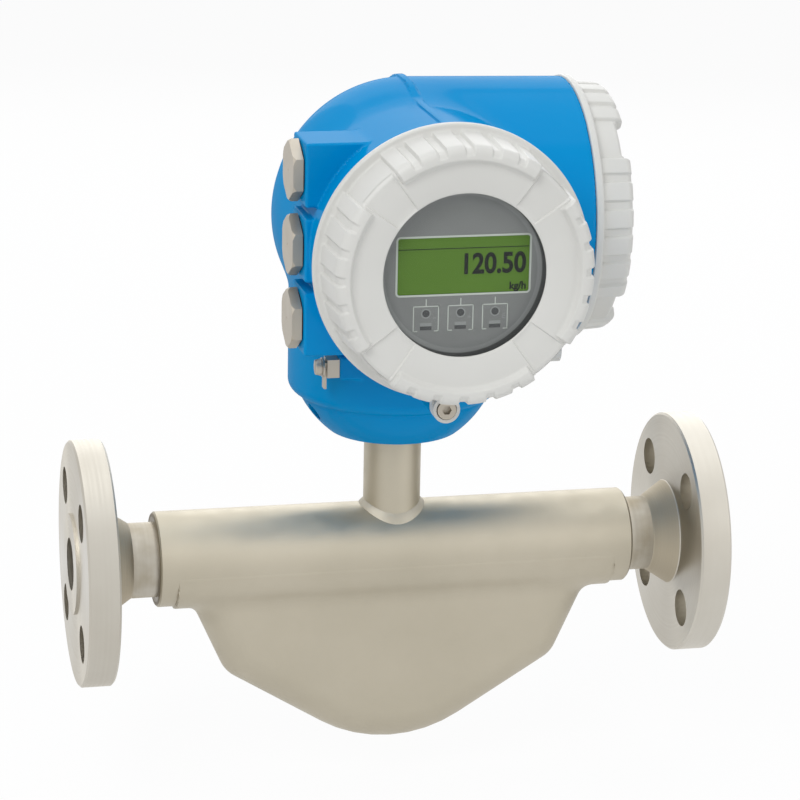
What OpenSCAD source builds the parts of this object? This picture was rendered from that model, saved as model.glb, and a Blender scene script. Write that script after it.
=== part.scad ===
// Coriolis mass flow meter: a twin bent-tube sensor between welding-neck flanges,
// with a two-compartment transmitter housing on its neck.
// The origin is the centre of the inlet flange's raised face. Flow runs along +X,
// +Z is up, and the display looks along -Y.

/* [Process connections] */
// Length from the inlet raised face to the outlet raised face
face_to_face = 329; // [322:1:420]
// Outside diameter of a flange
flange_d = 124; // [118:1:150]
// Thickness of a flange, raised face included
flange_t = 17.5; // [14:0.5:26]
// Diameter of the raised face
raised_face_d = 50.8; // [44:0.1:60]
// Height of the raised face
raised_face_h = 1.6; // [0.5:0.1:3]
// Diameter of the bolt circle
bolt_circle_d = 88.9; // [84:0.1:94]
// Diameter of a bolt hole
bolt_hole_d = 19; // [12:0.5:20]
// Number of bolt holes
bolt_count = 4; // [4:4:8]
// Diameter of the hub where it leaves the flange
hub_d = 54; // [46:1:60]
// Length of the hub's cone
hub_len = 12; // [6:1:16]
// Outside diameter of the short pipe behind the hub
stub_d = 38; // [33:0.5:42]
// Inside diameter of the process bore
bore_d = 26.7; // [20:0.1:28]
// Edge chamfer of the turned parts
edge_chamfer = 1; // [0.3:0.1:1.5]

/* [Sensor body] */
// Outside diameter of the sensor tube
sensor_tube_d = 48.3; // [46:0.1:52]
// Wall of the sensor tube
sensor_tube_wall = 2.6; // [1.6:0.1:3]
// Length of the sensor tube
sensor_tube_len = 244.8; // [240:0.2:260]
// Depth of the pressed shell below the pipe axis
shell_depth = 102.5; // [98:0.5:130]
// Width of the pressed shell, which is also its edge diameter
shell_w = 33.5; // [33:0.5:40]
// Wall of the pressed shell
shell_wall = 1.5; // [0.8:0.1:2]
// Radius of the shell's bottom
shell_bottom_r = 70; // [60:1:80]
// Distance from the sensor tube's end to the shell's core at the pipe
shell_setback = 31.4; // [26:0.2:34]
// How far the shell's core draws in from the pipe to its lower corners
shell_draw = 18; // [13:1:21]
// Height of the shell's lower corners above its bottom
shell_corner_h = 52.5; // [46:0.5:56]
// Distance from the sensor tube's end to the saddle collar that the shell is welded on with
collar_setback = 8.9; // [4:0.1:14]
// Thickness of the saddle collar
collar_t = 1.4; // [0.8:0.1:2]

/* [Measuring tubes] */
// Outside diameter of a measuring tube
tube_d = 12; // [9:0.5:12]
// Wall of a measuring tube
tube_wall = 1; // [0.6:0.1:1.5]
// Distance between the two tubes' axes
tube_pitch = 16; // [14:0.5:16]
// Distance from the sensor tube's end to the upper bends
tube_setback = 36.4; // [34.4:0.2:38.4]
// How far the tubes draw in from the upper to the middle bends
tube_draw = 15; // [12:1:20]
// Clearance between the lowest point of the tubes and the shell's bottom
tube_floor_gap = 11.6; // [7:0.1:16]
// Slope of the lower legs in degrees
tube_slope = 32; // [28:1:34]
// Bend radius of the upper bends
tube_top_r = 18; // [15:1:19]
// Bend radius of the middle bends
tube_mid_r = 26; // [18:1:34]
// Bend radius of the lowest bend
tube_low_r = 50; // [30:1:60]
// Length of a flow splitter
splitter_len = 21; // [20:0.5:23]
// Thickness of a brace plate
brace_t = 1.6; // [1:0.1:3]
// Distance of a brace plate below the upper bend's corner
brace_drop = 24; // [22:1:28]
// Distance of the temperature sensor below the upper bend's corner
probe_drop = 36; // [34:1:38]
// Distance of a pickoff from the middle bend's corner along the lower leg
pickoff_run = 24; // [20:1:28]

/* [Neck] */
// Outside diameter of the neck tube
neck_d = 29; // [26:0.5:34]
// Wall of the neck tube
neck_wall = 2.6; // [1.5:0.1:4]
// Size of the weld bead at the foot of the neck
neck_weld = 2.4; // [1:0.1:4]
// Height of the housing's underside above the pipe axis
housing_z = 64; // [60:0.5:90]
// Diameter of the turning spigot on top of the neck
spigot_d = 44; // [40:0.5:50]
// Height of the turning spigot
spigot_h = 20; // [16:0.5:22]
// Radial clearance of the turning spigot in the housing
spigot_gap = 0.05; // [0.02:0.01:0.1]

/* [Transmitter housing] */
// Height of the two chamber axes above the housing's underside
chamber_h = 113; // [112:0.5:130]
// Outside radius of the display chamber
display_chamber_r = 60.5; // [58:0.5:64]
// Distance of the display cover's seat from the neck axis
display_seat = 112; // [108:0.5:124]
// Outside radius of the electronics chamber
side_chamber_r = 66.5; // [64:0.5:68]
// Distance of the electronics cover's seat from the neck axis
side_seat = 82.4; // [78:0.2:100]
// Offset of the electronics chamber's axis behind the neck axis
side_axis_y = -6; // [-10:0.5:0]
// Wall of the casting
housing_wall = 5.5; // [4:0.5:7]
// Radius of the lower body
lower_body_r = 53.5; // [50:0.5:56]
// Radius of the bowl under the lower body
bowl_r = 47.6; // [44:0.1:49]
// Height of the bowl
bowl_h = 20; // [16:0.5:24]
// Radius of the flat underside of the bowl
bowl_flat_r = 32.3; // [28:0.1:36]
// Width of the casting rib between the two compartments
rib_w = 4; // [2:0.5:6]
// Height of the casting rib
rib_h = 1.3; // [0.5:0.1:3]

/* [Cable entries] */
// Distance between cable entries
entry_pitch = 35.8; // [34:0.2:38]
// Distance of the cable entries in front of the neck axis
entry_y = 68; // [64:0.5:72]
// Distance of the entry seats from the neck axis
entry_x = 62.7; // [61:0.1:68]
// Side of a cable entry's square boss
entry_boss = 31; // [29:0.5:33]
// Diameter of a cable entry's thread
entry_d = 20; // [16:0.5:21]
// Width across flats of a blind plug
plug_af = 26; // [24:0.5:27]
// Thickness of a blind plug's head
plug_head_t = 4.8; // [3:0.1:8]
// Length of a blind plug's shank
plug_shank = 9; // [5:0.5:12]
// Thickness of a sealing washer
washer_t = 1; // [0.5:0.1:2]

/* [Covers] */
// Radius of a cover's lip
cover_lip_r = 65.7; // [64:0.1:69]
// Thickness of a cover's lip
cover_lip_t = 4; // [2:0.5:5]
// Radius of a cover's side just above the lip
cover_side_r = 61; // [60:0.1:63]
// Radius of a cover at its front edge
cover_front_r = 59.4; // [54:0.1:60]
// Height of the display cover above its seat
display_cover_h = 32.5; // [29:0.5:36]
// Height of the electronics cover above its seat
side_cover_h = 20.6; // [16:0.2:26]
// Radius of the cover's threaded skirt
skirt_r = 54.6; // [53:0.1:54.7]
// Length of the cover's threaded skirt
skirt_len = 12; // [11:0.5:16]
// Inside radius of the cover's skirt
skirt_in_r = 50.5; // [50:0.1:51]
// Number of grip zones round a cover
grip_zones = 4; // [2:1:4]
// Number of grooves in a grip zone
grip_grooves = 5; // [3:1:6]
// Angle from one groove to the next
grip_step = 12.5; // [9:0.5:13]
// Width of a groove at its floor
groove_w = 3.6; // [1.5:0.1:5]
// Depth of a groove
groove_depth = 1.5; // [0.5:0.1:1.7]
// How far a grip zone stands out of the cover's front
grip_rise = 3; // [1:0.1:4]
// How far a grip zone stands out of the cover's side
grip_proud = 1.5; // [1:0.1:3]
// Width of the rounded front edge of a grip zone
grip_round = 4; // [2:0.5:6]
// Angle covered by each sunk sector between grip zones
sector_a = 18; // [10:1:20]
// Depth of a sunk sector
sector_depth = 0.9; // [0.3:0.1:1.2]
// Radius of the window opening
window_r = 38.3; // [36:0.1:39]
// Radius of the window glass
glass_r = 44.2; // [43:0.1:45]
// Thickness of the window glass
glass_t = 3.6; // [3:0.1:5]

/* [Display] */
// Radius of the display module
display_r = 41; // [40:0.1:41.5]
// Depth of the display module
display_depth = 18; // [14:0.5:19]
// Width of the liquid crystal panel
lcd_w = 62; // [56:0.5:64]
// Height of the liquid crystal panel
lcd_h = 26.5; // [24:0.5:30]
// Height of the panel's centre above the display axis
lcd_up = 3.2; // [0:0.1:6]
// Distance of the panel's centre to the right of the display axis
lcd_side = 1; // [0:0.5:3]
// Radius of the display module's pivot
pivot_r = 12; // [8:0.5:16]

/* [Hidden] */

$fn = 96;
small = 32;                 // facets of small round parts
eps = 0.01;                 // overshoot of a cut

mid_x = face_to_face / 2;
stub_end = sensor_tube_len / 2;
sensor_r = sensor_tube_d / 2;
sensor_in_r = sensor_r - sensor_tube_wall;

shell_r = shell_w / 2;
shell_bottom_z = shell_bottom_r - shell_depth;
shell_top_x = stub_end - shell_setback;
shell_corner_x = shell_top_x - shell_draw;
shell_corner_z = shell_depth - shell_corner_h;
collar_len = sensor_tube_len - 2 * collar_setback;

tube_r = tube_d / 2;
tube_in_r = tube_r - tube_wall;
tube_start = stub_end - splitter_len;
socket_len = 4;
socket_gap = 0.03;
foot_gap = 0.06;            // clearance of a coil's or magnet's foot on its tube
tube_top_x = stub_end - tube_setback;
tube_mid_x = tube_top_x - tube_draw;
tube_bottom_z = -(shell_depth - shell_wall - tube_floor_gap - tube_r);
tube_low_z = tube_bottom_z - tube_low_r * (1 / cos(tube_slope) - 1);
tube_mid_z = -tube_low_z - tube_mid_x * tan(tube_slope);
tube_path = [
    [-tube_start - socket_len, 0, 0],
    [-tube_top_x, 0, tube_top_r],
    [-tube_mid_x, -tube_mid_z, tube_mid_r],
    [0, tube_low_z, tube_low_r],
    [tube_mid_x, -tube_mid_z, tube_mid_r],
    [tube_top_x, 0, tube_top_r],
    [tube_start + socket_len, 0, 0]];
leg_tilt = atan((tube_top_x - tube_mid_x) / tube_mid_z);

neck_r = neck_d / 2;
neck_hole_r = neck_r - neck_wall;
spigot_r = spigot_d / 2;
spigot_z = housing_z + 1;
spigot_top = spigot_z + spigot_h;
neck_top = spigot_z;
feed_t = 3;
feed_z = spigot_top - 8;

chamber_z = housing_z + chamber_h;
side_cavity_r = side_chamber_r - 1.2 * housing_wall;
skirt_bore_r = skirt_r + 0.4;
partition_x = 3;
partition_t = 5;
partition_y = side_axis_y - side_cavity_r - partition_t + 1;

rim_t = 2;
seat_z = display_cover_h - grip_rise - rim_t;  // inner face that the window glass seats on
gasket_t = 0.4;
glass_back = seat_z - gasket_t - glass_t;

clamp_drop = cover_lip_r + 6.3;     // distance of a cover clamp from the chamber axis
clamp_r = 6.5;

// ---------------------------------------------------------------- placing helpers

// Puts a piece drawn about the neck axis into the meter.
module in_meter() { translate([mid_x, 0, 0]) children(); }

// Turns a piece drawn along +Z so that it runs along +X from x.
module along_x(x = 0) { translate([x, 0, 0]) rotate([0, 90, 0]) children(); }

// Turns a piece drawn along +Z so that it runs along -Y from y, with its +Y up.
module along_front(y = 0) { translate([0, y, 0]) rotate([90, 0, 0]) children(); }

// Frame of the display chamber: +Z comes out of the cover, z = 0 is the cover's seat.
module at_display() { in_meter() translate([0, -display_seat, chamber_z]) rotate([90, 0, 0]) children(); }

// Frame of the electronics chamber: +Z comes out of the cover, z = 0 is the cover's seat.
module at_side() {
    in_meter() translate([side_seat, side_axis_y, chamber_z]) rotate([90, 0, 90]) children();
}

// A flat ring from z = 0.
module ring(r_out, r_in, h) {
    difference() {
        cylinder(r = r_out, h = h);
        translate([0, 0, -1]) cylinder(r = r_in, h = h + 2);
    }
}

// A square with exactly round corners.
module round_square(side, r) {
    square([side, side - 2 * r], center = true);
    square([side - 2 * r, side], center = true);
    for (x = [-1, 1], y = [-1, 1])
        translate([x * (side / 2 - r), y * (side / 2 - r)]) circle(r = r, $fn = small);
}

// ---------------------------------------------------------------- process connections

// Half-section of a welding-neck flange: radius against distance from the raised face.
module flange_section() {
    c = edge_chamfer;
    polygon([
        [bore_d / 2, 0], [raised_face_d / 2, 0], [raised_face_d / 2, raised_face_h],
        [flange_d / 2 - c, raised_face_h], [flange_d / 2, raised_face_h + c],
        [flange_d / 2, flange_t - c], [flange_d / 2 - c, flange_t],
        [hub_d / 2, flange_t], [stub_d / 2, flange_t + hub_len],
        [stub_d / 2, mid_x - stub_end], [bore_d / 2, mid_x - stub_end]]);
}

module flange() {
    difference() {
        rotate_extrude() flange_section();
        for (i = [0 : bolt_count - 1])
            rotate(360 / bolt_count * (i + 0.5)) translate([bolt_circle_d / 2, 0, -1])
                cylinder(d = bolt_hole_d, h = flange_t + 2);
    }
}

module inlet_flange() { color([0.80, 0.78, 0.73]) along_x() flange(); }

module outlet_flange() {
    color([0.80, 0.78, 0.73]) translate([face_to_face, 0, 0]) mirror([1, 0, 0]) along_x() flange();
}

// ---------------------------------------------------------------- flow splitters

// Flow splitter: one round bore divides over two tube sockets behind a knife edge.
module splitter() {
    mouth = 6;
    throat = splitter_len - socket_len - mouth;
    throat_d = bore_d - 1;
    difference() {
        cylinder(r = sensor_in_r, h = splitter_len);
        translate([0, 0, -1]) cylinder(d = bore_d, h = mouth + 1);
        for (side = [-1, 1]) translate([0, side * tube_pitch / 2, 0]) {
            translate([0, 0, mouth - eps]) cylinder(r = tube_in_r, h = throat + 1);
            translate([0, 0, splitter_len - socket_len])
                cylinder(r = tube_r + socket_gap, h = socket_len + 1);
        }
        intersection() {
            translate([0, 0, mouth - eps]) cylinder(d = throat_d, h = throat);
            for (side = [-1, 1]) translate([0, side * tube_pitch / 2, mouth - eps])
                cylinder(r1 = tube_pitch / 2, r2 = tube_in_r, h = throat * 0.8);
        }
    }
}

module inlet_splitter() { color([0.70, 0.68, 0.63]) in_meter() along_x(-stub_end) splitter(); }

module outlet_splitter() {
    color([0.70, 0.68, 0.63]) in_meter() mirror([1, 0, 0]) along_x(-stub_end) splitter();
}

// ---------------------------------------------------------------- measuring tubes

function heading(a, b) = atan2(b[1] - a[1], b[0] - a[0]);

// How far a bend of the path reaches from its corner along both legs.
function reach(i) =
    i == 0 || i == len(tube_path) - 1 ? 0 :
    tube_path[i][2] * tan(abs(turn(i)) / 2);
function turn(i) = heading(tube_path[i], tube_path[i + 1]) - heading(tube_path[i - 1], tube_path[i]);

// The bend at corner i, as a rod of radius r.
module tube_bend(i, r) {
    a = tube_path[i];
    side = sign(turn(i));
    translate([a[0], 0, a[1]]) rotate([0, -heading(tube_path[i - 1], a), 0])
        translate([-reach(i), 0, side * a[2]]) rotate([90, 0, 0]) rotate(side > 0 ? -90 : 90 + turn(i))
            rotate_extrude(angle = abs(turn(i))) translate([a[2], 0]) circle(r = r, $fn = small);
}

// Stations of the bent axis as [x, z, heading]: the ends, and every few degrees of a bend.
bend_step = 9;
last = len(tube_path) - 1;
function station(i, t) =
    let (h0 = heading(tube_path[i - 1], tube_path[i]), h = h0 + t * turn(i),
         s = sign(turn(i)) * tube_path[i][2])
    [tube_path[i][0] - reach(i) * cos(h0) - s * sin(h0) + s * sin(h),
     tube_path[i][1] - reach(i) * sin(h0) + s * cos(h0) - s * cos(h), h];
tube_stations = concat(
    [[tube_path[0][0], tube_path[0][1], heading(tube_path[0], tube_path[1])]],
    [for (i = [1 : last - 1]) let (n = ceil(abs(turn(i)) / bend_step)) for (k = [0 : n]) station(i, k / n)],
    [[tube_path[last][0], tube_path[last][1], heading(tube_path[last - 1], tube_path[last])]]);

function ring_points(station, r, sides) =
    [for (k = [0 : sides - 1]) let (a = 360 / sides * k) [
        station[0] - r * cos(a) * sin(station[2]),
        r * sin(a),
        station[1] + r * cos(a) * cos(station[2])]];

// Bent pipe: its skin runs out along the outside and comes back along the inside.
module bent_pipe(r_out, r_in, sides) {
    n = len(tube_stations);
    rows = concat(
        [for (k = [0 : n - 1]) ring_points(tube_stations[k], r_out, sides)],
        [for (k = [n - 1 : -1 : 0]) ring_points(tube_stations[k], r_in, sides)]);
    function at(row, k) = (row % (2 * n)) * sides + k % sides;
    polyhedron(
        points = [for (row = rows) each row],
        faces = [for (row = [0 : 2 * n - 1], k = [0 : sides - 1], half = [0, 1])
            half == 0 ? [at(row, k), at(row, k + 1), at(row + 1, k + 1)]
                      : [at(row, k), at(row + 1, k + 1), at(row + 1, k)]]);
}

module measuring_tube(y) { in_meter() translate([0, y, 0]) bent_pipe(tube_r, tube_in_r, 20); }

module measuring_tube_front() { color([0.78, 0.76, 0.72]) measuring_tube(-tube_pitch / 2); }

module measuring_tube_rear() { color([0.78, 0.76, 0.72]) measuring_tube(tube_pitch / 2); }

// Frame on the inlet side's steep leg, s below the corner: +Z runs up the leg.
module on_leg(s) {
    translate([-tube_top_x, 0, 0]) rotate([0, -leg_tilt, 0]) translate([0, 0, -s]) children();
}

// Brace plate that ties both tubes together on their steep legs.
module brace() {
    brace_len = tube_d + 4;
    brace_w = shell_w - 2 * shell_wall - 0.8;
    on_leg(brace_drop) difference() {
        translate([-brace_len / 2, -brace_w / 2, 0]) cube([brace_len, brace_w, brace_t]);
        for (side = [-1, 1]) translate([0, side * tube_pitch / 2, -1])
            cylinder(r = tube_r + socket_gap, h = brace_t + 2);
    }
}

module inlet_brace() { color([0.70, 0.68, 0.63]) in_meter() brace(); }

module outlet_brace() { color([0.70, 0.68, 0.63]) in_meter() mirror([1, 0, 0]) brace(); }

// ---------------------------------------------------------------- coils and magnets

coil_z = 16;                // height of a coil's axis over the tube axes
coil_r = 6.5;
coil_len = 7;
magnet_r = 3.6;
arm_t = 1.6;
arm_w = 12;
foot_w = 6;

// Arm that stands on one tube (side -1 front, 1 rear) and carries a coil or a magnet.
module sensor_arm(side) {
    y = side * tube_pitch / 2;
    translate([-arm_w / 2, y - arm_t / 2, tube_r]) cube([arm_w, arm_t, coil_z + coil_r - tube_r]);
    translate([-foot_w / 2, y - foot_w / 2, tube_r - 1.5]) cube([foot_w, foot_w, 3]);
}

module coil() {
    difference() {
        union() {
            sensor_arm(-1);
            translate([0, -tube_pitch / 2, coil_z]) rotate([-90, 0, 0]) cylinder(r = coil_r, h = coil_len);
        }
        translate([0, -tube_pitch / 2 - arm_t, coil_z]) rotate([-90, 0, 0])
            cylinder(r = magnet_r + 1, h = coil_len + 2 * arm_t);
    }
}

module magnet() {
    sensor_arm(1);
    translate([0, tube_pitch / 2, coil_z]) rotate([90, 0, 0]) cylinder(r = magnet_r, h = tube_pitch * 0.75);
}

// Places a piece at the lowest point of the tubes and fits its foot to them.
module on_drive_point(side) {
    difference() {
        translate([0, 0, tube_bottom_z]) children();
        translate([0, side * tube_pitch / 2, 0]) tube_bend(3, tube_r + foot_gap);
    }
}

// Places a piece on the inlet side's lower leg and fits its foot to the tube.
module on_pickoff_point(side) {
    translate([-tube_mid_x, 0, -tube_mid_z]) rotate([0, tube_slope, 0]) translate([pickoff_run, 0, 0])
        difference() {
            children();
            translate([-arm_w, side * tube_pitch / 2, 0]) rotate([0, 90, 0])
                cylinder(r = tube_r, h = 2 * arm_w);
        }
}

module drive_coil() { color([0.72, 0.42, 0.18]) in_meter() on_drive_point(-1) coil(); }

module drive_magnet() { color([0.45, 0.45, 0.47]) in_meter() on_drive_point(1) magnet(); }

module inlet_pickoff_coil() { color([0.72, 0.42, 0.18]) in_meter() on_pickoff_point(-1) coil(); }

module inlet_pickoff_magnet() { color([0.45, 0.45, 0.47]) in_meter() on_pickoff_point(1) magnet(); }

module outlet_pickoff_coil() {
    color([0.72, 0.42, 0.18]) in_meter() mirror([1, 0, 0]) on_pickoff_point(-1) coil();
}

module outlet_pickoff_magnet() {
    color([0.45, 0.45, 0.47]) in_meter() mirror([1, 0, 0]) on_pickoff_point(1) magnet();
}

// Resistance thermometer clipped round the front tube's inlet leg.
module temperature_sensor() {
    clip_t = 1;
    clip_h = 7;
    probe_r = 1.6;
    color([0.85, 0.85, 0.80]) in_meter() translate([0, -tube_pitch / 2, 0]) on_leg(probe_drop) {
        ring(tube_r + clip_t, tube_r, clip_h);
        translate([tube_r + probe_r + 0.4, 0, -2]) cylinder(r = probe_r, h = clip_h + 4, $fn = small);
    }
}

// Signal cable from the coils up through the neck.
module sensor_cable() {
    cable_r = 2;
    foot = tube_bottom_z + coil_z + coil_r + 0.2;
    color([0.25, 0.25, 0.27]) in_meter() translate([0, -tube_pitch / 2, foot]) {
        cylinder(r = cable_r, h = feed_z - foot, $fn = small);
    }
}

// ---------------------------------------------------------------- sensor body

module sensor_tube() {
    slot_x = shell_top_x;
    c = edge_chamfer;
    color([0.72, 0.70, 0.63]) in_meter() difference() {
        along_x(-stub_end) rotate_extrude() polygon([
            [sensor_in_r, 0], [sensor_r - c, 0], [sensor_r, c],
            [sensor_r, sensor_tube_len - c], [sensor_r - c, sensor_tube_len],
            [sensor_in_r, sensor_tube_len]]);
        translate([-slot_x, -shell_r + shell_wall, -sensor_r - 1])
            cube([2 * slot_x, shell_w - 2 * shell_wall, sensor_r]);
        cylinder(r = neck_hole_r, h = sensor_r + 1);
    }
}

// Core points of the pressed shell: a ball of the edge radius rolls over them.
function shell_core() = concat(
    [for (side = [-1, 1]) [side * shell_top_x, -10]],
    [for (side = [-1, 1]) [side * shell_corner_x, -shell_corner_z]],
    [for (a = [-32 : 8 : 32]) [
        (shell_bottom_r - shell_r) * sin(a),
        shell_bottom_z - (shell_bottom_r - shell_r) * cos(a)]]);

// The pillow shape of the shell, with a full-round edge of radius r.
module shell_pillow(r) {
    hull() for (p = shell_core()) translate([p[0], 0, p[1]]) rotate([90, 0, 0]) sphere(r = r, $fn = small);
}

module sensor_shell() {
    collar_top = -6;
    color([0.72, 0.70, 0.63]) in_meter() difference() {
        union() {
            shell_pillow(shell_r);
            intersection() {
                along_x(-collar_len / 2) cylinder(r = sensor_r + collar_t, h = collar_len);
                translate([-collar_len, -sensor_tube_d, collar_top - sensor_tube_d])
                    cube([2 * collar_len, 2 * sensor_tube_d, sensor_tube_d]);
            }
        }
        shell_pillow(shell_r - shell_wall);
        along_x(-stub_end) cylinder(r = sensor_r, h = sensor_tube_len);
    }
}

// ---------------------------------------------------------------- neck

module neck_tube() {
    color([0.70, 0.67, 0.60]) in_meter() difference() {
        union() {
            cylinder(r = neck_r, h = neck_top);
            intersection() {
                cylinder(r = neck_r + neck_weld, h = neck_top);
                along_x(-neck_d) cylinder(r = sensor_r + neck_weld, h = 2 * neck_d);
            }
        }
        translate([0, 0, -1]) cylinder(r = neck_hole_r, h = neck_top + 2);
        along_x(-neck_d - 1) cylinder(r = sensor_r, h = 2 * neck_d + 2);
    }
}

seal_r = 1.5;               // half-thickness of the neck's O-ring
seal_z = spigot_z + 5;
screw_z = spigot_z + 12;
lock_groove = 2.5;

// Turned spigot that the housing turns on, with an O-ring groove and a locking groove.
module neck_spigot() {
    color([0.74, 0.72, 0.67]) in_meter() difference() {
        translate([0, 0, spigot_z]) cylinder(r = spigot_r, h = spigot_h);
        translate([0, 0, spigot_z - 1]) cylinder(r = neck_hole_r, h = spigot_h + 2);
        translate([0, 0, seal_z - seal_r]) ring(spigot_r + 1, spigot_r - 2 * seal_r - 0.3, 2 * seal_r);
        translate([0, 0, screw_z - 4]) ring(spigot_r + 1, spigot_r - lock_groove, 8);
    }
}

module neck_seal() {
    color([0.10, 0.10, 0.10]) in_meter() translate([0, 0, seal_z]) rotate_extrude()
        translate([spigot_r - seal_r - 0.3, 0]) circle(r = seal_r - 0.1, $fn = small);
}

// Glass-sealed feedthrough in the spigot's bore, with its ring of contact pins.
module neck_feedthrough() {
    pins = 6;
    color([0.55, 0.60, 0.55]) in_meter() translate([0, 0, feed_z]) {
        cylinder(r = neck_hole_r - socket_gap, h = feed_t);
        for (i = [0 : pins - 1]) rotate(360 / pins * i) translate([neck_hole_r / 2, 0, 0])
            cylinder(r = 0.6, h = feed_t + 4, $fn = small);
    }
}

// ---------------------------------------------------------------- transmitter housing

bowl_edge_h = bowl_h - 1.5;
bowl_mid = (bowl_edge_h ^ 2 + bowl_r ^ 2 - bowl_flat_r ^ 2) / (2 * bowl_edge_h);
bowl_ball_r = norm([bowl_flat_r, bowl_mid]);
body_corner_r = 6;
dome_x = 3.5;               // centre of the dome that closes the electronics chamber
side_len = side_seat - dome_x;
side_mouth_r = side_chamber_r - 1.5;
floor_z = spigot_top + 7;
shoulder_gap = 0.2;
side_bore_len = skirt_len + 4;

// Half-section of the bowl and the lower body, from the underside up.
module lower_section() {
    intersection() {
        translate([0, bowl_mid]) circle(r = bowl_ball_r);
        square([bowl_r, bowl_h]);
    }
    translate([0, bowl_h]) square([lower_body_r - body_corner_r, chamber_h - bowl_h]);
    translate([lower_body_r - body_corner_r, bowl_h + body_corner_r]) circle(r = body_corner_r, $fn = small);
    translate([0, bowl_h + body_corner_r])
        square([lower_body_r, chamber_h - bowl_h - body_corner_r - 10]);
}

// Half-section of the electronics chamber: a dome, then a barrel with casting draft.
// z = 0 is the cover's seat. The inside is the same form with a radius less by wall.
module side_section(r, mouth, bore) {
    intersection() {
        translate([0, -side_len]) circle(r = r);
        translate([0, -side_len - r]) square([r, r]);
    }
    polygon([[0, -side_len], [r, -side_len], [mouth, -bore], [0, -bore]]);
}

module entry_bosses() {
    for (i = [-1 : 1]) translate([-entry_x, -entry_y, chamber_z + i * entry_pitch]) rotate([90, 0, 90])
        linear_extrude(entry_x - boss_root) round_square(entry_boss, boss_r);
}

module casting_rib() {
    translate([partition_x - rib_w, 0, 0]) rotate([90, 0, 90]) linear_extrude(rib_w) intersection() {
        union() {
            translate([side_axis_y, chamber_z]) circle(r = side_chamber_r + rib_h);
            translate([1 - display_seat, chamber_z])
                square([display_seat + side_axis_y, display_chamber_r + rib_h]);
        }
        translate([-display_seat, chamber_z + 10]) square([2 * display_seat, 2 * side_chamber_r]);
    }
}

// Lug under a chamber that a cover clamp sits on, in the chamber's own frame.
lug_front = -8;
lug_len = 18;
module clamp_lug() {
    translate([0, -clamp_drop, lug_front - lug_len]) cylinder(r = clamp_r, h = lug_len);
    translate([-clamp_r, -clamp_drop, lug_front - lug_len]) cube([2 * clamp_r, 20, lug_len]);
}

side_lug_turn = 6;          // how far the side lug sits round from straight below
ground_side = 38;           // distance of the ground terminal's seat from the neck axis
ground_front = 42.5;
ground_h = 45;              // height of the ground terminal above the housing's underside
ground_pad = 12;
ground_at = [-ground_side, -ground_front, housing_z + ground_h];
boss_r = 3;                 // edge radius of a cable entry's boss
boss_root = 12;             // where the bosses end inside the casting, from the neck axis

// Outer form of the casting, without its cavities.
module housing_outside() {
    translate([0, 0, housing_z]) rotate_extrude() lower_section();
    translate([side_seat, side_axis_y, chamber_z]) rotate([90, 0, 90]) {
        rotate_extrude() side_section(side_chamber_r, side_mouth_r, 0);
        rotate(-side_lug_turn) clamp_lug();
    }
    translate([0, 0, chamber_z]) along_front() cylinder(r = display_chamber_r, h = display_seat);
    translate([0, -display_seat, chamber_z]) rotate([90, 0, 0]) clamp_lug();
    entry_bosses();
    casting_rib();
    translate([ground_at[0], ground_at[1] + 1 - ground_pad / 2, ground_at[2] - ground_pad / 2])
        cube([ground_pad, ground_pad, ground_pad]);
}

// Inner room of the casting before the partition is left standing.
module housing_room() {
    translate([0, 0, chamber_z]) along_front() cylinder(r = skirt_bore_r, h = display_seat + 1);
    translate([side_seat, side_axis_y, chamber_z]) rotate([90, 0, 90]) {
        rotate_extrude() side_section(side_cavity_r, side_cavity_r, side_bore_len);
        translate([0, 0, -side_bore_len - 1]) cylinder(r = skirt_bore_r, h = side_bore_len + 2);
    }
    translate([0, 0, floor_z]) cylinder(r = lower_body_r - housing_wall, h = chamber_z - floor_z);
}

// Wall between the connection compartment and the electronics compartment.
module partition() {
    big = 2 * side_seat;
    translate([partition_x, partition_y, 0]) cube([partition_t, big, 2 * chamber_z]);
    translate([partition_x, partition_y, 0]) cube([big, partition_t, 2 * chamber_z]);
}

lug_in_r = 44;
holder_over = 4;            // how far the display holder lies on its lugs
holder_z = -14;             // seat of the display holder behind the cover's seat
holder_lug_w = 10;
holder_lug_t = 12;

// Cast lugs inside the display chamber that carry the display holder.
module holder_lugs() {
    intersection() {
        cylinder(r = display_chamber_r - 1, h = 2 * display_seat, center = true);
        for (i = [0 : 2]) rotate(90 + 120 * i)
            translate([lug_in_r, -holder_lug_w / 2, holder_z - holder_lug_t])
                cube([display_chamber_r, holder_lug_w, holder_lug_t]);
    }
}

module transmitter_housing() {
    passage_r = 9;
    passage_drop = 20;
    throat_r = spigot_r - 4;
    entry_len = 34.7;
    color([0.0, 0.53, 0.80]) in_meter() {
        difference() {
            housing_outside();
            difference() {
                housing_room();
                partition();
                translate([0, -display_seat, chamber_z]) rotate([90, 0, 0]) holder_lugs();
            }
            translate([0, 0, housing_z - 1])
                cylinder(r = spigot_r + spigot_gap, h = spigot_top - housing_z + 1 + shoulder_gap);
            translate([0, 0, spigot_top - 1]) cylinder(r = throat_r, h = floor_z - spigot_top + 2);
            along_x(partition_x - 1) translate([passage_drop - chamber_z, side_axis_y, 0])
                cylinder(r = passage_r, h = partition_t + 2);
            for (i = [-1 : 1]) along_x(-entry_x - 1) translate([-chamber_z - i * entry_pitch, -entry_y, 0])
                cylinder(d = entry_d, h = entry_len);
            set_screw_axis() {
                cylinder(r = set_screw_r + 0.1, h = 40);
                translate([0, 0, set_screw_len + 1]) cylinder(r = set_screw_r + 1.2, h = 40);
            }
            translate([0, -display_seat + 1, chamber_z]) rotate([90, 0, 0]) clamp_screw_hole();
            translate([side_seat - 1, side_axis_y, chamber_z]) rotate([90, 0, 90])
                rotate(-side_lug_turn) clamp_screw_hole();
        }
    }
}

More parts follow.
